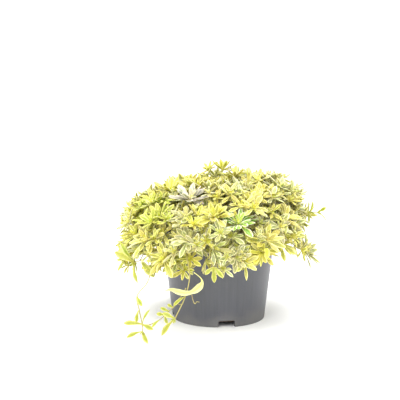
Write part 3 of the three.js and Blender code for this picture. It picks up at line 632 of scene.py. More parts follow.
def make_variegation():
    """The pattern's colour, darkened and lightened by a fine mottle and by the leaf's own
    tone, and its relief: the streaks, and veins that slant from the midrib to the edge."""
    inputs = [(tone, COLOUR) for tone in TONES] + [("Heart Width", NUMBER)]
    tree, given, result = new_group("variegation", inputs, [("Color", COLOUR), ("Relief", NUMBER)])
    across, along = place_on_leaf(tree)
    seed, age, tint = (attribute_node(tree, name) for name in ("seed", "age", "tint"))
    edge, streaks, heart, half_tone = pattern_masks(tree, across, along, seed, given["Heart Width"])
    draw = math_node(tree, "FRACT", times(tree, seed, SEED_REDRAW))
    draw = scaled(tree, draw, LEAF_DRAW, times(tree, tint, ROSETTE_DRAW))
    colour = leaf_colour(tree, given, age, draw, edge, heart, half_tone)
    mottle = scaled(tree, noise_node(tree, place_on_object(tree), MOTTLE_SIZE), *MOTTLE)
    toned = times(tree, mottle, scaled(tree, seed, *LEAF_TONE))
    shade = add_node(tree, "ShaderNodeCombineColor", Red=toned, Green=mottle, Blue=toned)
    tree.links.new(mix_colour(tree, 1.0, colour, shade.outputs[0], "MULTIPLY"), result["Color"])
    slant = scaled(tree, edge, VEIN_SLANT, times(tree, along, VEINS))
    veins = math_node(tree, "SINE", times(tree, slant, 2 * math.pi))
    tree.links.new(scaled(tree, veins, VEIN_HEIGHT, streaks), result["Relief"])
    return tree


variegation = make_variegation()
print("nodes of the leaf pattern:", len(variegation.nodes))

# %% [markdown]
# ## The finishes of the leaves
# The plant isn't one colour. Three finishes stand for the CAD model's material slots: cream
# and gold for most shoots, and green for a few. Each has two hearts and two margins, which
# are mixed by the rosette's tint and the leaf's seed. One palette with more noise could do,
# but then no rosette would stand out, and in the photograph some do: a bright green one with
# white margins at the front, and a grey one higher up on the left. They have a finish of
# their own, and so have the plainer leaves of the runners and the pale strap leaf.

# %% Leaf materials
LEAF_BUMP, LEAF_RELIEF = 0.4, 0.0003
PALETTES = {
    "leaf_gold": (0.58, (166, 162, 54), (158, 156, 96), (206, 198, 80),
                  (242, 230, 112), (248, 240, 168), (212, 210, 72)),
    "leaf_cream": (0.64, (150, 154, 88), (146, 150, 108), (204, 198, 122),
                   (250, 240, 172), (250, 242, 202), (214, 212, 92)),
    "leaf_green": (0.64, (138, 154, 40), (156, 164, 68), (194, 196, 72),
                   (234, 228, 104), (246, 238, 158), (198, 204, 66)),
    "leaf_bright": (0.56, (98, 152, 30), (120, 164, 60), (196, 208, 108),
                    (248, 244, 206), (252, 248, 226), (204, 214, 52)),
    "leaf_grey": (0.66, (148, 152, 124), (156, 158, 138), (208, 200, 172),
                  (250, 234, 216), (250, 236, 206), (214, 208, 132)),
    "leaf_runner": (0.5, (128, 136, 36), (142, 148, 50), (154, 158, 56),
                    (184, 182, 78), (196, 190, 98), (172, 172, 66)),
    "leaf_pale": (0.1, (180, 174, 84), (186, 180, 92), (194, 188, 104),
                  (206, 198, 118), (208, 200, 126), (198, 192, 110)),
}
OTHER_FINISH = {"leaf_gold": "leaf_cream", "leaf_cream": "leaf_gold", "leaf_green": "leaf_gold"}


def leaf_material(name, heart_width, *tones):
    """A leaf with the heart's width and the screen colours of TONES."""
    material, tree, shader = new_material(name)
    group = tree.nodes.new("ShaderNodeGroup")
    group.node_tree = variegation
    group.inputs["Heart Width"].default_value = heart_width
    for label, tone in zip(TONES, tones):
        group.inputs[label].default_value = srgb(*tone)
    finish_shader(tree, shader, group.outputs["Color"], group.outputs["Relief"], LEAF_BUMP,
                  LEAF_RELIEF, Roughness=0.48, Specular_IOR_Level=0.4, Subsurface_Weight=0.35,
                  Subsurface_Radius=(1.0, 1.0, 0.4), Subsurface_Scale=0.0015)
    return material


LEAF_SKINS = {name: leaf_material(name, *palette) for name, palette in PALETTES.items()}
print("leaf finishes:", list(LEAF_SKINS))

# %% [markdown]
# ## The stems' finish
# The stems are pale green where they are young and turn a dull purple brown lower down. The
# colour could follow the height, but a shoot that hangs over the rim is young at its low end.
# So it follows the place along each stem, which the UV map holds, with a little noise.

# %% Stem material
STEM_PATCHES = 160.0
STEM_TURNS_PALE = (0.3, 0.8)


def stem_material(name, old, young):
    """From the old colour at the stem's start to the young one at its end, in patches."""
    material, tree, shader = new_material(name)
    along = place_on_leaf(tree)[1]
    patches = noise_node(tree, place_on_object(tree), STEM_PATCHES, 3.0)
    share = ramp_node(tree, scaled(tree, patches, 0.5, along), *STEM_TURNS_PALE)
    colour = mix_colour(tree, share, srgb(*old), srgb(*young))
    finish_shader(tree, shader, colour, patches, LEAF_BUMP, LEAF_RELIEF, Roughness=0.6)
    return material


STEM_SKIN = stem_material("stem_skin", (146, 112, 86), (190, 188, 118))
PALE_STEM = stem_material("stem_pale", (140, 122, 78), (158, 148, 84))
print("stem finishes:", STEM_SKIN.name, PALE_STEM.name)

# %% [markdown]
# ## Leaves round an axis
# Besides the leaves that the CAD model has, a rosette has small young leaves that stand up in
# its middle, and more old ones underneath. Both kinds are arcs: a leaf leaves the stem at one
# angle from the rosette's axis and reaches another at its tip, and the sum of its small steps
# has a simple formula. The golden angle turns each leaf away from the one before, as real
# shoots do, so that no leaf shades the next.

# %% Arcs
GOLDEN_ANGLE = math.pi * (3 - math.sqrt(5))
NEARLY_UPRIGHT = 0.9
STRAIGHT = 1e-3
LEAF_ROLL = 0.25
WIDTH_SPREAD = (0.85, 1.15)


def golden_turns(count, first=6.0):
    """Angles a golden angle apart, from a random one that is less than first."""
    return rng.uniform(0, first) + np.arange(count) * GOLDEN_ANGLE


def degrees(low, high, count):
    """Random angles between low and high degrees, in radians."""
    return np.radians(rng.uniform(low, high, count))


def cross_frame(axes):
    """Two directions square to each axis and to each other."""
    upright = np.abs(axes[:, 2:]) >= NEARLY_UPRIGHT
    spare = np.where(upright, [[1.0, 0.0, 0.0]], [[0.0, 0.0, 1.0]])
    right = unit(np.cross(spare, axes))
    return right, np.cross(axes, right)


def ways_round(axes, turns):
    """Directions square to each axis, turned round it: right * cos + ahead * sin."""
    right, ahead = cross_frame(axes)
    return right * np.cos(turns)[:, None] + ahead * np.sin(turns)[:, None]


def arc_leaves(centres, axes, turns, lifts, opening, lengths, slenderness):
    """A leaf whose direction is axis * cos(p) + out * sin(p), where p goes evenly from lift
    to fall, and fall - lift is a random angle of the opening, in degrees. Up to the share u
    the steps add up to the length times the difference of sin(p) along the axis, and of
    -cos(p) outwards, over (fall - lift)."""
    count = len(turns)
    centres, axes = (np.broadcast_to(places, (count, 3)) for places in (centres, axes))
    out = ways_round(axes, turns)
    change = degrees(*opening, count)
    change = np.where(np.abs(change) < STRAIGHT, STRAIGHT, change)
    polar = lifts[:, None] + change[:, None] * LINE_SHARES[1:]
    run = (lengths / change)[:, None]
    up = run * (np.sin(polar) - np.sin(lifts)[:, None])
    away = run * (np.cos(lifts)[:, None] - np.cos(polar))
    places = centres[:, None] + axes[:, None] * up[..., None] + out[:, None] * away[..., None]
    upper = axes * np.sin(polar[:, :1]) - out * np.cos(polar[:, :1])
    roll = rng.uniform(-LEAF_ROLL, LEAF_ROLL, (count, 1))
    upper = unit(upper + roll * np.cross(axes, out))
    width = lengths * slenderness * rng.uniform(*WIDTH_SPREAD, count)
    return centres, places[:, 0], upper, places[:, 1], places[:, 2], width


print("golden angle in degrees:", round(math.degrees(GOLDEN_ANGLE), 2))

# %% [markdown]
# ## Keeping out of the pot
# A leaf that hangs over the rim must not pass through the pot's wall or sink into the soil.
# The pot is a surface of revolution, so a point needs only its height and its distance from
# the axis to be tested. Leaves that fail the test are left out, which is easier than bending
# them and leaves no trace in a dense mound.

# %% The pot's sizes and the test
FOOT_RADIUS = 66.5
SHOULDER_HEIGHT = 106.5
SHOULDER_RADIUS = 79.5
BAND_HEIGHT = 108.8
BAND_RADIUS = 81.8
RIM_HEIGHT = 130.0
RIM_RADIUS = 85.5
LIP_HEIGHT = 1.5
LIP_STEP = 0.6
WALL = 1.6
FLOOR_HEIGHT = 6.0
SOIL_EDGE_HEIGHT = 117.0
SOIL_CROWN = 3.5
POT_MARGIN = 1.2
FIRST_PROBE = 0.6


def wall_radius(height):
    """The wall's outer radius, which grows evenly from the foot to the shoulder."""
    return FOOT_RADIUS + (SHOULDER_RADIUS - FOOT_RADIUS) * height / SHOULDER_HEIGHT


def clear_of_pot(points, margin=POT_MARGIN):
    """True above the rim, outside the wall, or over the soil inside the rim. From the
    shoulder up the wall is taken to be as wide as the rim."""
    radius = np.hypot(points[..., 0], points[..., 1])
    height = points[..., 2]
    wall = np.where(height > SHOULDER_HEIGHT - margin, RIM_RADIUS, wall_radius(height))
    above = height > RIM_HEIGHT + margin
    outside = (radius > wall + margin) & (height > margin)
    over_soil = height > SOIL_EDGE_HEIGHT + SOIL_CROWN + margin
    inside = over_soil & (radius < BAND_RADIUS - WALL - margin)
    return above | outside | inside


def keep_clear(leaves):
    """Only the leaves of which six places are clear of the pot: one before the wide place,
    the wide place and its two edges, the late place and the tip."""
    root, wide, upper, late, tip, width = leaves
    side = unit(np.cross(upper, tip - root)) * width[:, None] / 2
    first = root + FIRST_PROBE * (wide - root)
    probes = np.stack([first, wide, wide + side, wide - side, late, tip], axis=1)
    good = clear_of_pot(probes).all(axis=1)
    return [values[good] for values in leaves], good


BUDS = np.concatenate([shoot["centres"] for shoot in shoots.values()])
print("buds clear of the pot:", int(clear_of_pot(BUDS).sum()), "of", len(BUDS))

# %% [markdown]
# ## Side rosettes that fill the mound
# Seen closely the mound has no gaps: small rosettes on short side shoots fill the room
# between the large ones. Their places could be scattered over a dome, but they belong to
# shoots, so each is tried beside and a little below an existing bud, and taken if no other
# rosette is too near. Every one gets a short stem from the shoot that carries it.
#
# The mound's lower edge against the dark pot is what the eye compares first, so the places
# along it are chosen one by one after the photograph, in millimetres. So are two small tips
# above the mound's top and two rosettes of the loose spray at the right.

# %% Rosettes placed one by one
SPECIAL_PLACES = [((25, -118, 149), "leaf_bright"), ((-37, -80, 176), "leaf_grey")]
SPECIAL_ROOM = 23.0
SPECIAL_DEPTH = 8.0
SPECIAL_REACH = 4.0
SKIRT = [[-118, -34, 92], [-119, -15, 80], [-97, -56, 83], [-81, -74, 92], [-64, -84, 91],
         [-47, -93, 95], [-37, -97, 109], [-55, -93, 115], [-20, -102, 118], [-6, -106, 123],
         [10, -103, 117], [28, -99, 118], [44, -92, 114], [57, -87, 120], [64, -85, 127],
         [22, -110, 130], [-17, -111, 134], [-14, -10, 212], [41, -20, 203],
         [103, -57, 112], [112, -64, 107]]
LEVEL_HEIGHT = 110
UPWARD = 0.02


def skirt_places():
    """The places of SKIRT, each given to the shoot with the nearest bud. They face outwards,
    and up by UPWARD for each millimetre above LEVEL_HEIGHT."""
    owners = [(name, number) for name, shoot in shoots.items()
              for number in range(len(shoot["centres"]))]
    given = []
    for spot in np.array(SKIRT, float):
        name, number = owners[np.linalg.norm(BUDS - spot, axis=1).argmin()]
        outward = unit(spot * [1, 1, 0])
        way = unit(outward + [0, 0, UPWARD * (spot[2] - LEVEL_HEIGHT)])
        given.append((name, number, spot, way))
    return given


def in_front_of_special(spot):
    """True nearer than SPECIAL_ROOM to a special place, unless it is further than
    SPECIAL_DEPTH behind it."""
    ways = [(spot - place, unit(np.array(place, float))) for place, _ in SPECIAL_PLACES]
    return any(np.linalg.norm(step) < SPECIAL_ROOM and step @ out > -SPECIAL_DEPTH
               for step, out in ways)


print("rosettes placed by hand:", len(SKIRT))

# %% All side rosettes
CANDIDATES = 30
SIDE_SPACING = 12.4
SIDE_REACH = (12, 25)
SIDE_DROP = (-4, 20)
SIDE_LEAN = (0.15, 0.6)
SIDE_MARGIN = 7.0
LOW_EDGE = 84.0
RIGHT_EDGE_RISE = 52.0
HIGHEST = 206
WIDEST = 136


def in_mound(spot):
    """True between the mound's lower edge, which rises by RIGHT_EDGE_RISE * cos(angle from
    +X) at the right, its highest place and its widest one."""
    far = np.hypot(spot[0], spot[1])
    lowest = LOW_EDGE + RIGHT_EDGE_RISE * max(spot[0], 0) / far
    return lowest < spot[2] < HIGHEST and far < WIDEST


def side_places():
    """Candidates at bud + sideways * reach - axis * drop, taken in random order if they keep
    SIDE_SPACING from all the rosettes taken so far, lie in the mound, stay clear of the pot
    and don't hide a special rosette."""
    chosen = skirt_places()
    taken = np.concatenate([BUDS, SKIRT])
    tries = []
    for name, shoot in shoots.items():
        for number, (centre, axis) in enumerate(zip(shoot["centres"], shoot["axes"])):
            out = ways_round(axis[None], golden_turns(CANDIDATES, 2 * math.pi))
            reach = rng.uniform(*SIDE_REACH, (CANDIDATES, 1))
            drop = rng.uniform(*SIDE_DROP, (CANDIDATES, 1))
            spots = centre + out * reach - axis * drop
            ways = unit(axis + out * rng.uniform(*SIDE_LEAN, (CANDIDATES, 1)))
            tries.extend((name, number, spot, way) for spot, way in zip(spots, ways))
    for index in rng.permutation(len(tries)):
        spot = tries[index][2]
        room = np.linalg.norm(taken - spot, axis=1).min()
        fits = room > SIDE_SPACING and in_mound(spot) and clear_of_pot(spot, SIDE_MARGIN)
        if fits and not in_front_of_special(spot):
            chosen.append(tries[index])
            taken = np.vstack([taken, spot])
    return chosen


side_rosettes = side_places()
print("side rosettes:", len(side_rosettes))

# %% [markdown]
# ## Putting one shoot together
# The CAD leaves come first, rebuilt as fine leaves from the stem's end to their old tips. Then
# follow the young leaves in the middle, the old ones underneath, the leaves down the stem,
# and the side rosettes. Ages run from the middle outwards, so the middles glow lime yellow.

# %% Leaves of a rosette and of a stem
YOUNG = {"count": 9, "lift": (8, 4.5), "opening": (2, 24), "length": (0.22, 0.045),
         "slender": 0.34, "oldest": 0.45}
OUTER = {"count": 8, "lift": (34, 88), "opening": (-10, 34), "length": (0.72, 1.02),
         "slender": 0.31, "age": (0.6, 1.0)}
ON_STEM = {"count": 11, "lift": (40, 75), "opening": (0, 40), "length": (12, 20),
           "slender": 0.32, "age": (0.8, 1.0), "span": (0.4, 0.93)}
YOUNG_SPREAD = (0.9, 1.1)


def young_leaves(centre, axis, size):
    """Small leaves in the middle. The n-th leaf's angle from the axis and its share of the
    rosette's size are a first value and n times a step. Its age goes evenly to the oldest."""
    count = YOUNG["count"]
    number = np.arange(count)
    turns = golden_turns(count)
    angle, angle_step = YOUNG["lift"]
    share, share_step = YOUNG["length"]
    lengths = size * (share + share_step * number) * rng.uniform(*YOUNG_SPREAD, count)
    lifts = np.radians(angle + angle_step * number)
    leaves = arc_leaves(centre, axis, turns, lifts, YOUNG["opening"], lengths, YOUNG["slender"])
    return leaves, number / (count - 1) * YOUNG["oldest"]


def outer_leaves(centre, axis, size, count=OUTER["count"]):
    """Old leaves underneath, with random angles from the axis and shares of the size."""
    lifts = degrees(*OUTER["lift"], count)
    turns = golden_turns(count)
    lengths = size * rng.uniform(*OUTER["length"], count)
    leaves = arc_leaves(centre, axis, turns, lifts, OUTER["opening"], lengths, OUTER["slender"])
    return leaves, rng.uniform(*OUTER["age"], count)


def stem_leaves(line):
    """Old leaves along the span of a stem, at random angles from its direction."""
    count = ON_STEM["count"]
    rows = np.round(np.linspace(*ON_STEM["span"], count) * (len(line) - 1)).astype(int)
    along = unit(np.gradient(line, axis=0))[rows]
    turns = golden_turns(count)
    lifts = degrees(*ON_STEM["lift"], count)
    lengths = rng.uniform(*ON_STEM["length"], count)
    leaves = arc_leaves(line[rows], along, turns, lifts, ON_STEM["opening"], lengths,
                        ON_STEM["slender"])
    return leaves, rng.uniform(*ON_STEM["age"], count)


print("added leaves of a rosette:", YOUNG["count"] + OUTER["count"], "of a stem:", ON_STEM["count"])

# %% Rebuilt leaves, stems and twigs
ROOT_SHARE = 0.06
WIDTH_GAIN = 1.06
LEAN_YOUTH = 0.6
AGE_SPREAD = 0.15
MAIN_LINE, MAIN_RADII = 22, (1.5, 0.8)
FORK_LINE, FORK_RADII = 16, (0.9, 0.7)
FORK_START = 0.25
TWIG_START, TWIG_RADII, TWIG_MARGIN = 0.72, (0.75, 0.55), 0.8
TWIG_BEND = 0.2
TWIG_LOW, TWIG_OVER_RIM = 4, 7
TWIG_LINE, LONG_TWIG_LINE = 8, 10
SIDE_SIZE = (15, 24)


def rebuilt_leaves(shoot, finishes):
    """The CAD leaves of each bud. Each starts ROOT_SHARE of the way from the bud's centre to
    its widest section, and is up to LEAN_YOUTH younger if it stands along the bud's axis."""
    middle, upper, late, tip, width = shoot["leaves"]
    owner, centres = shoot["owner"], shoot["centres"]
    root = centres[owner] + ROOT_SHARE * (middle - centres[owner])
    lean = (unit(tip - root) * shoot["axes"][owner]).sum(axis=1)
    age = 1 - LEAN_YOUTH * lean.clip(0, 1) + rng.uniform(-AGE_SPREAD, AGE_SPREAD, len(lean))
    tints = rng.uniform(0, 1, len(centres))
    made = []
    for number, finish in enumerate(finishes):
        own = owner == number
        made.append(leaf_batch(root[own], middle[own], upper[own], late[own], tip[own],
                               width[own] * WIDTH_GAIN, age[own], tints[number], finish))
    return made, tints


def stem_lines(shoot):
    """The line of the main stem, and the fork's, which leaves it between two sections."""
    main, centres = shoot["main"], shoot["centres"]
    lines = [smooth_line([*main, centres[0]], MAIN_LINE)]
    if len(centres) > 1:
        start = main[2] + FORK_START * (main[3] - main[2])
        lines.append(smooth_line([start, *shoot["fork"], centres[1]], FORK_LINE))
    return lines


def twig_line(start, spot, way):
    """A short bent stem from start to spot. One that ends low outside the rim goes over it."""
    if spot[2] < RIM_HEIGHT + TWIG_LOW and np.hypot(spot[0], spot[1]) > RIM_RADIUS:
        over = unit(spot * [1, 1, 0]) * (RIM_RADIUS + TWIG_OVER_RIM)
        over = over + [0, 0, RIM_HEIGHT + TWIG_OVER_RIM]
        return smooth_line([start, over, spot], LONG_TWIG_LINE)
    bend = (start + spot) / 2 - TWIG_BEND * np.linalg.norm(spot - start) * way
    return smooth_line([start, bend, spot], TWIG_LINE)


def side_rosette_parts(name, lines):
    """The twigs of a shoot's side rosettes as batches, and their leaves. One whose twig would
    cut the pot is left out with its twig."""
    twigs, leaves = [], []
    for _, number, spot, way in (place for place in side_rosettes if place[0] == name):
        line = lines[number]
        twig = twig_line(line[int(len(line) * TWIG_START)], spot, way)
        if not clear_of_pot(twig, TWIG_MARGIN).all():
            continue
        twigs.append(stem_batch(twig, *TWIG_RADII))
        size = rng.uniform(*SIDE_SIZE)
        tint, finish = rng.uniform(), int(rng.choice([LEAF, OTHER_LEAF]))
        leaves.append((*young_leaves(spot, way, size), tint, finish))
        leaves.append((*outer_leaves(spot, way, size), tint, finish))
    return twigs, leaves


# %% All foliage
SLOT_OF = {part["node"]: part["material_slot"] for part in frame["record"]["subparts"]}
OUTER_SIZE = 0.9
ROSETTE_SIZE = (16, 30)


def special_skins(shoot):
    """For each bud, the finish of the place in SPECIAL_PLACES that it is at, or None."""
    skins = []
    for centre in shoot["centres"]:
        near = [LEAF_SKINS[finish] for place, finish in SPECIAL_PLACES
                if np.linalg.norm(centre - place) < SPECIAL_REACH]
        skins.append(near[0] if near else None)
    return skins


def shoot_batches(name, shoot, finishes):
    """Rebuilt leaves, stems and twigs, and then all the added leaves that are clear of the
    pot. A rosette's size is the median distance from its bud to the shoot's leaf tips."""
    batches, tints = rebuilt_leaves(shoot, finishes)
    lines = stem_lines(shoot)
    batches += [stem_batch(line, *radii) for line, radii in zip(lines, (MAIN_RADII, FORK_RADII))]
    added = []
    tip = shoot["leaves"][3]
    buds = zip(shoot["centres"], shoot["axes"], lines, tints, finishes)
    for centre, axis, line, tint, finish in buds:
        size = np.median(np.linalg.norm(tip - centre, axis=1).clip(*ROSETTE_SIZE))
        added.append((*young_leaves(centre, axis, size), tint, finish))
        added.append((*outer_leaves(centre, axis, size * OUTER_SIZE), tint, finish))
        added.append((*stem_leaves(line), tint, LEAF))
    twigs, leaves = side_rosette_parts(name, lines)
    batches += twigs
    for leaves, age, tint, finish in added + leaves:
        leaves, good = keep_clear(leaves)
        if good.any():
            batches.append(leaf_batch(*leaves, age[good], tint, finish, SMALL_LEAF_ROWS))
    return batches


leaf_count, twig_count = 0, 0
for name, shoot in shoots.items():
    slot = SLOT_OF[name]
    special = special_skins(shoot)
    batches = shoot_batches(name, shoot, [SPECIAL_LEAF if skin else LEAF for skin in special])
    skins = [LEAF_SKINS[slot], STEM_SKIN, LEAF_SKINS[OTHER_FINISH[slot]]]
    skins += [skin for skin in special if skin]
    make_piece(name.replace("shoot", "foliage"), batches, skins, [name])
    leaf_count += sum(one["tubes"] for one in batches if one["finish"] != STEM)
    twig_count += sum(one["finish"] == STEM for one in batches) - len(shoot["centres"])
print("fine leaves:", leaf_count, "side rosettes with a clear twig:", twig_count)

# %% [markdown]
# ## The runners
# Long thin shoots hang over the rim, most of them at the front left. Their course is the
# plant's most telling outline, so they follow the same points as the CAD model, which are
# repeated here in millimetres. Each leaf runs from one of those points to its own tip and
# bows a little away from the pot. Its row gives the number of that point, then the tip's
# place and the width.

# %% Courses and leaves of the runners
RUNNERS = {
    "runner_long": {
        "foot": -40,
        "path": [[-58, -69, 143], [-71, -84, 135], [-79, -94, 113], [-86, -104, 90],
                 [-92, -118, 72], [-104, -124, 57], [-101, -128, 40], [-97, -131, 22],
                 [-96, -136, 14]],
        "leaves": [[5, -97, -129, 45, 7], [6, -104, -132, 24, 7], [7, -87, -130, 41, 4],
                   [7, -82, -138, 17, 6.5], [7, -121, -130, 23, 7.5], [8, -117, -134, 5, 6.5],
                   [8, -88, -149, 2.5, 7]],
    },
    "runner_left": {
        "foot": -53,
        "path": [[-72, -54, 143], [-86, -66, 137], [-95, -76, 118], [-103, -88, 98],
                 [-111, -91, 94]],
        "leaves": [[4, -138, -88, 108, 10], [4, -131, -80, 119, 9], [4, -106, -96, 67, 8],
                   [3, -84, -104, 77, 10]],
    },
    "runner_front": {
        "foot": -21,
        "path": [[-31, -86, 142], [-38, -103, 135], [-41, -121, 115], [-37, -136, 96],
                 [-36, -143, 84], [-41, -146, 62], [-54, -147, 34]],
        "leaves": [[6, -71, -148, 12, 7], [6, -70, -144, 40, 6.5], [5, -56, -146, 50, 5]],
    },
    "runner_middle": {
        "foot": -3,
        "path": [[-5, -91, 143], [-7, -112, 139], [-9, -128, 126], [-11, -141, 112],
                 [-6, -146, 99]],
        "leaves": [[4, -17, -148, 90, 6], [4, -5, -149, 80, 6.5], [4, 6, -149, 86, 6]],
    },
    "runner_right": {
        "foot": 62,
        "path": [[79, -42, 146], [95, -52, 152], [108, -59, 152], [121, -61, 157],
                 [133, -61, 158]],
        "leaves": [[4, 147, -59, 143, 5], [4, 143, -70, 166, 5], [3, 128, -51, 172, 5],
                   [3, 128, -80, 157, 5.5]],
        "rosette": 17,
    },
}
RUNNER_SPREAD = 73.0
FOOT_HEIGHT = 108.8
COLLAR_HEIGHT = 122.5
RUNNER_RADII = (1.0, 0.65)
RUNNER_AGE = (0.55, 0.95)
RUNNER_TINT = 0.5
RUNNER_OLDER = 0.2
ROWS_PER_POINT = 10
RUNNER_YOUNG_SIZE = 13
RUNNER_OUTER_LEAVES = 10
BOW = 0.12
UPPER_SIDE_RISE = 0.6


def aimed_leaves(points, rows):
    """Leaves that bow by 4 * BOW * length * u * (1 - u) to the upper side, which faces away
    from the pot's axis and upwards."""
    rows = np.array(rows, float)
    root = np.array(points, float)[rows[:, 0].astype(int)]
    tip, width = rows[:, 1:4], rows[:, 4]
    along = tip - root
    length = np.linalg.norm(along, axis=1, keepdims=True)
    outward = unit(root * [1, 1, 0]) + [0, 0, UPPER_SIDE_RISE]
    face = np.cross(unit(along), unit(np.cross(outward, along)))
    wide, late = (root + along * u + face * (4 * BOW * u * (1 - u)) * length
                  for u in (WIDE_SHARE, LATE_SHARE))
    return root, wide, face, late, tip, width


def runner_batches(runner):
    """A stem from the soil along the path, its own leaves, and young ones at its end."""
    angle = math.radians(runner["foot"] - 90)
    ground = [RUNNER_SPREAD * math.cos(angle), RUNNER_SPREAD * math.sin(angle)]
    path = np.array([[*ground, FOOT_HEIGHT], [*ground, COLLAR_HEIGHT], *runner["path"]], float)
    line = smooth_line(path, ROWS_PER_POINT * len(path))
    leaves = aimed_leaves(runner["path"], runner["leaves"])
    count = len(runner["leaves"])
    age = rng.uniform(*RUNNER_AGE, count)
    tip_way = unit(path[-1] - path[-2])
    young, young_age = young_leaves(path[-1], tip_way, RUNNER_YOUNG_SIZE)
    young, good = keep_clear(young)
    made = [
        stem_batch(line, *RUNNER_RADII),
        leaf_batch(*leaves, age, rng.uniform(0, 1, count)),
        leaf_batch(*young, young_age[good] + RUNNER_OLDER, RUNNER_TINT, LEAF, SMALL_LEAF_ROWS),
    ]
    if "rosette" in runner:
        around, age = outer_leaves(path[-2], tip_way, runner["rosette"], RUNNER_OUTER_LEAVES)
        made.append(leaf_batch(*around, age, RUNNER_TINT, LEAF, SMALL_LEAF_ROWS))
    return made


print("points of the runners:", sum(len(runner["path"]) for runner in RUNNERS.values()))

# %% [markdown]
# ## The strap leaf, the curled tendril and the side branch
# In front of the pot hangs one long pale leaf that loops like a strap, beside a thread that
# ends in a curl. They are too thin to matter as solids, so only this script has them. The
# strap is a leaf with its own centre line: eight rings aren't enough for its loop, so it gets
# its own rows from the smooth line. All of it belongs to the front runner.

# %% Small forms at the front
STRAP = [[-30.7, -142, 91.5], [-25.8, -144, 88.4], [-21.5, -146, 84.7], [-20.1, -148, 80.1],
         [-23.0, -150, 75.5], [-27.9, -151, 71.3], [-34.1, -151, 68.2], [-41.9, -151, 67.2],
         [-49.9, -151, 68.9], [-58.7, -150, 71.4], [-67.5, -148, 69.3]]
STRAP_WIDTHS = [1.0, 1.0, 1.1, 3.4, 8.6, 8.0, 4.6, 6.8, 7.2, 3.6, 0.3]
CURL = [[-33.1, -150, 65.2], [-31.8, -151, 59.8], [-30.4, -151, 55.7], [-28.7, -151, 53.9],
        [-26.7, -151, 56.4], [-23.5, -151, 55.9]]
BRANCH = [[-97.1, -131.5, 20.0], [-86.6, -134, 22.4], [-73.6, -137, 29.8], [-67.8, -138, 36.0],
          [-62.2, -139, 41.1], [-56.9, -141, 46.5], [-51.5, -143, 52.8], [-50.1, -144, 57.5],
          [-45.9, -145, 62.2], [-40.4, -144.5, 72.2]]
LINK = [[-51.5, -143, 52.8], [-49.1, -144, 51.0], [-46.2, -146, 52.0]]
BRANCH_LEAVES = [[2, -84, -138, 20, 5], [3, -78, -140, 38, 5.5], [3, -64, -140, 25, 5.5],
                 [4, -73, -141, 46, 5], [5, -64, -143, 51, 4.5]]
STRAP_ROWS = 33
STRAP_FACE = [0.15, -1.0, 0.35]
STRAP_THICKNESS = 0.45
STRAP_ALONG = (0.02, 0.12)
CURL_RADII = (0.5, 0.35)
BRANCH_RADII = (0.55, 0.65)
LINK_RADII = (0.45, 0.45)


def strap_batch():
    """Rings as for a leaf, along a Catmull-Rom line, with the width read from a table."""
    line = smooth_line(STRAP, STRAP_ROWS)
    place = np.linspace(0, 1, STRAP_ROWS)
    known = np.linspace(0, 1, len(STRAP_WIDTHS))
    half = np.interp(place, known, STRAP_WIDTHS)[:, None] / 2
    along = unit(np.gradient(line, axis=0))
    side = unit(np.cross([STRAP_FACE], along))
    face = np.cross(along, side)
    height = FOLD * half * RING_TOP
    height[:, MIDRIB] -= STRAP_THICKNESS
    rings = line[:, None] + side[:, None] * (half * RING_SIDE)[..., None]
    rings = rings + face[:, None] * height[..., None]
    return batch(rings[None], RING_ACROSS, np.interp(place, [0, 1], STRAP_ALONG), 0.2, 0.7, 0.9,
                 OTHER_LEAF)


def front_forms():
    """The strap, the curl, the side branch, the thread that links it, and its leaves."""
    threads = ((CURL, 24, CURL_RADII), (BRANCH, 40, BRANCH_RADII), (LINK, 8, LINK_RADII))
    strap = strap_batch()
    stems = [stem_batch(smooth_line(points, rows), *radii) for points, rows, radii in threads]
    leaves = aimed_leaves(BRANCH, BRANCH_LEAVES)
    age = np.full(len(BRANCH_LEAVES), 0.7)
    return [strap, *stems, leaf_batch(*leaves, age, 0.6, LEAF, SMALL_LEAF_ROWS)]


RUNNER_SKINS = [LEAF_SKINS["leaf_runner"], PALE_STEM, LEAF_SKINS["leaf_pale"]]
for name, runner in RUNNERS.items():
    batches = runner_batches(runner)
    if name == "runner_front":
        batches.extend(front_forms())
    make_piece(name.replace("runner", "trailing"), batches, RUNNER_SKINS, [name])
print("runners:", len(RUNNERS))

# %% [markdown]
# ## The pot
# The pot is moulded in one go from grey plastic: a wall that leans outwards, a broad band at
# the top, a foot ring and a floor that sits a little higher. The CAD pot has 36 flat facets,
# which catch the light, so it is turned again here from a profile with rounded corners. The
# notches in the foot are cut with a Boolean modifier, because a cut through a thin wall is
# hard to draw as one grid.

# %% Turn the pot
POT_SIDES = 144
EDGE_ROUND = 0.8
ARC_STEPS = 4
MOST_OF_SIDE = 0.45


def rounded(profile, radius):
    """Replaces each corner of a closed profile that isn't on the axis by an arc: points from
    one side to the other on the quadratic curve with the corner as its middle point."""
    profile = np.array(profile, float)
    t = np.linspace(0, 1, ARC_STEPS)[:, None]
    made = []
    for i, corner in enumerate(profile):
        if corner[0] == 0:
            made.append(corner[None])
            continue
        ways = [profile[i - 1] - corner, profile[(i + 1) % len(profile)] - corner]
        start, end = (corner + unit(way) * min(radius, MOST_OF_SIDE * np.linalg.norm(way))
                      for way in ways)
        made.append((1 - t) ** 2 * start + 2 * t * (1 - t) * corner + t**2 * end)
    return np.concatenate(made)


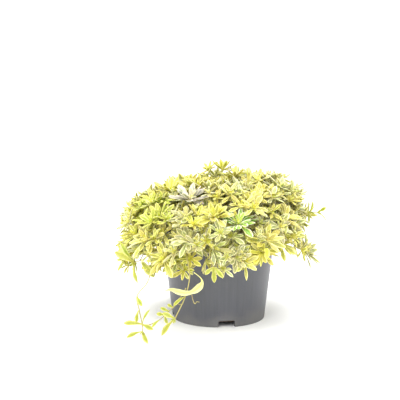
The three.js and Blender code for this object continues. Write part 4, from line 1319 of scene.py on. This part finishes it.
def turned(profile, sides):
    """Points (r cos a, r sin a, z) for each profile point and angle. A profile that starts
    and ends on the axis closes in a single point at each end."""
    angle = np.arange(sides) * 2 * math.pi / sides
    ring = np.stack([np.cos(angle), np.sin(angle)], axis=1)
    body = profile[1:-1]
    flat = body[:, None, :1] * ring[None]
    height = np.broadcast_to(body[:, None, 1:], (len(body), sides, 1))
    points = np.concatenate([flat, height], axis=2).reshape(-1, 3)
    number = np.arange(len(points)).reshape(len(body), sides)
    beside = np.roll(number, -1, axis=1)
    first, last = np.full(sides, len(points)), np.full(sides, len(points) + 1)
    start = np.stack([beside[0], number[0], first], axis=1)
    end = np.stack([number[-1], beside[-1], last], axis=1)
    points = np.vstack([points, [0, 0, profile[0, 1]], [0, 0, profile[-1, 1]]])
    return points, ring_faces(number).tolist() + start.tolist() + end.tolist()


def inner_radius(height):
    return wall_radius(height) - WALL


floor_top = FLOOR_HEIGHT + WALL
POT_PROFILE = [
    [0, FLOOR_HEIGHT],
    [inner_radius(FLOOR_HEIGHT), FLOOR_HEIGHT],
    [inner_radius(0), 0],
    [FOOT_RADIUS, 0],
    [SHOULDER_RADIUS, SHOULDER_HEIGHT],
    [BAND_RADIUS, BAND_HEIGHT],
    [RIM_RADIUS - LIP_STEP, RIM_HEIGHT - LIP_HEIGHT],
    [RIM_RADIUS, RIM_HEIGHT],
    [RIM_RADIUS - WALL, RIM_HEIGHT],
    [BAND_RADIUS - WALL, BAND_HEIGHT],
    [SHOULDER_RADIUS - WALL, SHOULDER_HEIGHT],
    [inner_radius(floor_top), floor_top],
    [0, floor_top],
]
pot_points, pot_faces = turned(rounded(POT_PROFILE, EDGE_ROUND), POT_SIDES)
pot = mesh_object("pot_shell", pot_points, pot_faces)
print("pot faces:", len(pot_faces))

# %% The notches' cutters and cheeks
NOTCH_TURNS = [10 + 90 * k for k in range(4)]
NOTCH_WIDTH = 23.0
NOTCH_TOP = 9.5
NOTCH_BELOW = 5.0
NOTCH_BEYOND = 6.0
NOTCH_DEPTH = 9.0
NOTCH_ROUND = 2.5
CHEEK_GAP = 0.3
CHEEK_TOP = FLOOR_HEIGHT + 0.8
POT_CREASE = 35


def prism(outline, near, far, turn):
    """An outline in x and z, drawn out from distance near to distance far along -y, and
    turned round the pot's axis by an angle in degrees."""
    outline = np.array(outline)
    count = len(outline)
    layers = [np.insert(outline, 1, -distance, axis=1) for distance in (near, far)]
    cos, sin = math.cos(math.radians(turn)), math.sin(math.radians(turn))
    spin = np.array([[cos, sin, 0], [-sin, cos, 0], [0, 0, 1]])
    number = np.arange(2 * count).reshape(2, count)
    ends = [number[0, ::-1].tolist(), number[1].tolist()]
    return np.concatenate(layers) @ spin, ring_faces(number).tolist() + ends


def notch_outline():
    """An arch with rounded upper corners, drawn out below the foot so that it cuts it."""
    half = NOTCH_WIDTH / 2
    turn = np.radians(np.linspace(0, 90, 6))
    right = [half, NOTCH_TOP] + NOTCH_ROUND * (np.stack([np.cos(turn), np.sin(turn)], axis=1) - 1)
    return [[-half, -NOTCH_BELOW], [half, -NOTCH_BELOW], *right, *(right[::-1] * [-1, 1])]


def cheek_outline(way):
    """An upright strip beside the notch, on the side given by way, which is -1 or 1."""
    near, far = way * NOTCH_WIDTH / 2, way * (NOTCH_WIDTH / 2 + WALL)
    left, right = min(near, far), max(near, far)
    return [[left, 0.0], [right, 0.0], [right, CHEEK_TOP], [left, CHEEK_TOP]]


def joined_prisms(name, prisms):
    """All prisms as one object."""
    points, faces, start = [], [], 0
    for corners, sides in prisms:
        points.append(corners)
        faces.extend([[corner + start for corner in side] for side in sides])
        start += len(corners)
    return mesh_object(name, np.concatenate(points), faces)


def apply_boolean(target, tool, operation):
    modifier = target.modifiers.new("join", "BOOLEAN")
    modifier.object = tool
    modifier.operation = operation
    modifier.solver = "EXACT"
    depsgraph = bpy.context.evaluated_depsgraph_get()
    result = bpy.data.meshes.new_from_object(target.evaluated_get(depsgraph))
    target.modifiers.clear()
    old = target.data
    target.data = result
    bpy.data.meshes.remove(old)
    bpy.data.objects.remove(tool)


cutter = joined_prisms("notch_cutter", [
    prism(notch_outline(), FOOT_RADIUS - NOTCH_DEPTH, FOOT_RADIUS + NOTCH_BEYOND, turn)
    for turn in NOTCH_TURNS])
apply_boolean(pot, cutter, "DIFFERENCE")
cheek_end = FOOT_RADIUS - WALL - CHEEK_GAP
cheeks = joined_prisms("notch_cheeks", [
    prism(cheek_outline(way), cheek_end - NOTCH_DEPTH, cheek_end, turn)
    for turn in NOTCH_TURNS for way in (-1, 1)])
apply_boolean(pot, cheeks, "UNION")
smooth_shaded(pot, POT_CREASE)
print("pot corners after cutting:", len(pot.data.vertices))

# %% [markdown]
# ## Moulded grey plastic
# The plastic is a satin mid grey. Looked at closely it has faint upright streaks from the
# mould, a fine grain, and a film of dust and dried soil in clouds, which is thickest near the
# foot. Each is a small change of colour or roughness, worked out from the place on the pot:
# the streaks need the angle round the axis, which is the arctangent of y over x.

# %% Plastic material
PLASTIC_GREY, DUST_GREY = (76, 77, 82), (142, 138, 130)
STREAKS_ROUND, STREAKS_UP = 9.0, 5.0
STREAK_TONE, GRAIN_TONE = (0.44, 0.78), (0.16, 0.92)
FOOT_DUST_TOP, FOOT_DUST = 0.03, 0.35
CLOUD_DUST, DUST_EDGE, DUST_COVER = 0.75, (0.42, 0.85), 0.3


def plastic_material():
    """Grey * streaks * grain, with dust over it where the foot's dust and the clouds add up
    to enough. Dust and streaks make it rougher."""
    material, tree, shader = new_material("pot_plastic_skin")
    where = place_on_object(tree)
    x, y, z = parts_of(tree, where)
    angle = math_node(tree, "ARCTAN2", y, x)
    place = add_node(tree, "ShaderNodeCombineXYZ", X=times(tree, angle, STREAKS_ROUND),
                     Y=times(tree, z, STREAKS_UP)).outputs[0]
    streaks = noise_node(tree, place, 2.4, 4.0, 0.65)
    grain = noise_node(tree, where, 900.0, 3.0, 0.6)
    clouds = noise_node(tree, where, 26.0, 4.0, 0.6)
    low = ramp_node(tree, z, FOOT_DUST_TOP, 0.0)
    dust = scaled(tree, low, FOOT_DUST, times(tree, clouds, CLOUD_DUST))
    dust = ramp_node(tree, dust, *DUST_EDGE)
    tone = times(tree, scaled(tree, streaks, *STREAK_TONE), scaled(tree, grain, *GRAIN_TONE))
    shade = add_node(tree, "ShaderNodeCombineColor", Red=tone, Green=tone, Blue=tone)
    plain = mix_colour(tree, 1.0, srgb(*PLASTIC_GREY), shade.outputs[0], "MULTIPLY")
    colour = mix_colour(tree, times(tree, dust, DUST_COVER), plain, srgb(*DUST_GREY))
    rough = scaled(tree, streaks, 0.12, scaled(tree, dust, 0.25, 0.36))
    height = scaled(tree, streaks, 1.5, grain)
    finish_shader(tree, shader, colour, height, 0.25, 0.0002, Roughness=rough,
                  Specular_IOR_Level=0.5)
    return material


pot.data.materials.clear()
pot.data.materials.append(plastic_material())
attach(pot, "root")
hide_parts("pot")
print("pot finish:", pot.data.materials[0].name)

# %% [markdown]
# ## The soil
# Under the leaves lies dark potting soil, mostly peat with bits of bark. A flat disc would
# show as soon as the plant is seen from above, so the top is a fine grid of rings with waves
# of several sizes added to its height, and a few hundred crumbs lie on it. Underneath it
# fills the pot as one closed body.

# %% Soil body
SIDE_GAP = 0.4
SOIL_LIFT = 0.3
SOIL_SIDES, SOIL_RINGS = 120, 41
LEVEL_EDGE = 0.5
RELIEF_SIZES = (9, 4.2, 1.9, 1.1, 0.7)
RELIEF_HEIGHTS = (0.5, 0.4, 0.35, 0.3, 0.25)


def waves(x, y):
    """Sum of sin(u / size + a) * sin(v / size + b) * height, where u and v are x and y turned
    by a random angle."""
    total = np.zeros_like(x)
    for size, height in zip(RELIEF_SIZES, RELIEF_HEIGHTS):
        a, b, turn = rng.uniform(0, 2 * math.pi, 3)
        u = x * math.cos(turn) - y * math.sin(turn)
        v = x * math.sin(turn) + y * math.cos(turn)
        total += np.sin(u / size + a) * np.sin(v / size + b) * height
    return total


def crown(share):
    """The soil's height at a share of its radius: edge + crown * (1 - share^2)."""
    return SOIL_EDGE_HEIGHT + SOIL_CROWN * (1 - share**2)


def soil_profile():
    """The inside of the pot, SIDE_GAP away from it, and the crown on top. Returns the
    profile and the radius of the soil's edge."""
    band_share = (SOIL_EDGE_HEIGHT - BAND_HEIGHT) / (RIM_HEIGHT - BAND_HEIGHT)
    edge = BAND_RADIUS + (RIM_RADIUS - BAND_RADIUS) * band_share - WALL - SIDE_GAP
    floor = floor_top + SOIL_LIFT
    share = np.linspace(1, 0, SOIL_RINGS)
    low = [[0, floor], [inner_radius(floor_top) - SIDE_GAP, floor],
           [SHOULDER_RADIUS - WALL - SIDE_GAP, SHOULDER_HEIGHT],
           [BAND_RADIUS - WALL - SIDE_GAP, BAND_HEIGHT]]
    return np.concatenate([low, np.stack([edge * share, crown(share)], axis=1)]), edge


profile, soil_edge = soil_profile()
soil_points, soil_faces = turned(profile, SOIL_SIDES)
radius = np.hypot(soil_points[:, 0], soil_points[:, 1])
inside = (soil_points[:, 2] > SOIL_EDGE_HEIGHT - 0.01) & (radius < soil_edge - LEVEL_EDGE)
relief = waves(soil_points[:, 0], soil_points[:, 1])
soil_points[:, 2] += np.where(inside, relief, 0)
print("soil rings:", len(profile), "relief in mm:", round(float(np.abs(relief).max()), 2))

# %% Crumbs on the soil
CRUMBS = 260
CRUMB_SIZE, CRUMB_SQUASH, CRUMB_LUMPS = (0.8, 2.6), (0.4, 1.0), (0.75, 1.2)
CRUMB_LIFT, CRUMB_INSET = 0.2, 4
SOIL_CREASE = 50


def crumb_points():
    """Twelve-cornered lumps: the corners of an icosahedron pushed in and out at random, and
    squashed by a random amount in each direction."""
    golden = (1 + math.sqrt(5)) / 2
    ball = unit(np.array([[-1, golden, 0], [1, golden, 0], [-1, -golden, 0], [1, -golden, 0],
                          [0, -1, golden], [0, 1, golden], [0, -1, -golden], [0, 1, -golden],
                          [golden, 0, -1], [golden, 0, 1], [-golden, 0, -1], [-golden, 0, 1]]))
    faces = np.array([[0, 11, 5], [0, 5, 1], [0, 1, 7], [0, 7, 10], [0, 10, 11], [1, 5, 9],
                      [5, 11, 4], [11, 10, 2], [10, 7, 6], [7, 1, 8], [3, 9, 4], [3, 4, 2],
                      [3, 2, 6], [3, 6, 8], [3, 8, 9], [4, 9, 5], [2, 4, 11], [6, 2, 10],
                      [8, 6, 7], [9, 8, 1]])
    size = rng.uniform(*CRUMB_SIZE, (CRUMBS, 1, 1)) * rng.uniform(*CRUMB_SQUASH, (CRUMBS, 1, 3))
    lumps = ball[None] * size * rng.uniform(*CRUMB_LUMPS, (CRUMBS, 12, 1))
    spread = (soil_edge - CRUMB_INSET) * np.sqrt(rng.uniform(0, 1, CRUMBS))
    angle = rng.uniform(0, 2 * math.pi, CRUMBS)
    height = crown(spread / soil_edge) + CRUMB_LIFT
    place = np.stack([spread * np.cos(angle), spread * np.sin(angle), height], axis=1)
    numbers = faces[None] + 12 * np.arange(CRUMBS)[:, None, None]
    return (lumps + place[:, None]).reshape(-1, 3), numbers.reshape(-1, 3)


crumbs, crumb_faces = crumb_points()
all_points = np.vstack([soil_points, crumbs])
soil = mesh_object("soil_bed", all_points, soil_faces + (crumb_faces + len(soil_points)).tolist())
smooth_shaded(soil, SOIL_CREASE)
print("crumbs:", CRUMBS, "corners of the soil:", len(all_points))


# %% Soil material
def soil_material():
    """Dark and less dark patches, lighter grains on them, and a few pale fibres."""
    material, tree, shader = new_material("soil_skin")
    where = place_on_object(tree)
    grains = noise_node(tree, where, 420.0, 5.0, 0.7)
    patches = noise_node(tree, where, 60.0, 3.0)
    fibre = ramp_node(tree, noise_node(tree, where, 180.0, 4.0, 0.75), 0.6, 0.72)
    dark = mix_colour(tree, patches, srgb(34, 26, 20), srgb(66, 50, 38))
    colour = mix_colour(tree, ramp_node(tree, grains, 0.4, 0.7), dark, srgb(86, 66, 50))
    colour = mix_colour(tree, times(tree, fibre, 0.6), colour, srgb(128, 98, 68))
    finish_shader(tree, shader, colour, grains, 0.9, 0.001, Roughness=0.95)
    return material


soil.data.materials.append(soil_material())
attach(soil, "root")
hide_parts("soil")
print("soil finish:", soil.data.materials[0].name)

# %% [markdown]
# ## Floor and light
# The plant stands on a pale seamless sweep, as in a product picture: a floor that curves up
# into a wall far behind. The light is soft and comes from large areas above, at the front
# left and at the right, with an even pale world around them.

# %% Sweep
SWEEP_SIDE = 4000.0
SWEEP_FRONT = -2500.0
SWEEP_BACK = 2000.0
SWEEP_BEND = 1500.0
SWEEP_TOP = 4000.0


def sweep():
    """A profile of y and z, flat, then a quarter circle, then upright, drawn out along x."""
    turn = np.linspace(0, math.pi / 2, 13)
    y = [SWEEP_FRONT, *(SWEEP_BACK + SWEEP_BEND * np.sin(turn)), SWEEP_BACK + SWEEP_BEND]
    z = [0.0, *(SWEEP_BEND - SWEEP_BEND * np.cos(turn)), SWEEP_TOP]
    x = np.tile([-SWEEP_SIDE, SWEEP_SIDE], len(y))
    points = np.stack([x, np.repeat(y, 2), np.repeat(z, 2)], axis=1)
    row = 2 * np.arange(len(y) - 1)
    faces = np.stack([row, row + 1, row + 3, row + 2], axis=1)
    return mesh_object("floor_sweep", points, faces.tolist())


floor = sweep()
floor.data.shade_smooth()
material, tree, shader = new_material("pale_floor")
set_sockets(tree, shader, Base_Color=(0.9, 0.9, 0.9, 1.0), Roughness=0.9)
floor.data.materials.append(material)
print("floor faces:", len(floor.data.polygons))

# %% Lights
LIGHTS = {
    "key": {"place": (-0.9, -1.9, 1.9), "target": (0, 0, 0.12), "size": 1.8, "watts": 86.0},
    "side": {"place": (1.9, 0.1, 0.8), "target": (0, 0, 0.08), "size": 1.2, "watts": 66.0},
    "top": {"place": (0.2, 0.2, 2.4), "target": (0, 0, 0.1), "size": 2.0, "watts": 46.0},
}
WORLD_STRENGTH = 1.3


def area_light(name, place, target, size, watts):
    """A square light at place that faces the target."""
    data = bpy.data.lights.new(name, "AREA")
    data.size = size
    data.energy = watts
    lamp = bpy.data.objects.new(name, data)
    lamp.location = place
    x, y, z = np.array(target) - np.array(place)
    lamp.rotation_euler = (math.atan2(math.hypot(x, y), -z), 0.0, math.pi - math.atan2(x, -y))
    bpy.context.scene.collection.objects.link(lamp)


for name, light in LIGHTS.items():
    area_light(name, **light)
world = bpy.data.worlds.new("studio")
bpy.context.scene.world = world
world.use_nodes = True
background = world.node_tree.nodes["Background"]
set_sockets(world.node_tree, background, Color=(1.0, 1.0, 1.0, 1.0), Strength=WORLD_STRENGTH)
bpy.context.scene.view_settings.view_transform = "Standard"
print("lights:", list(LIGHTS))
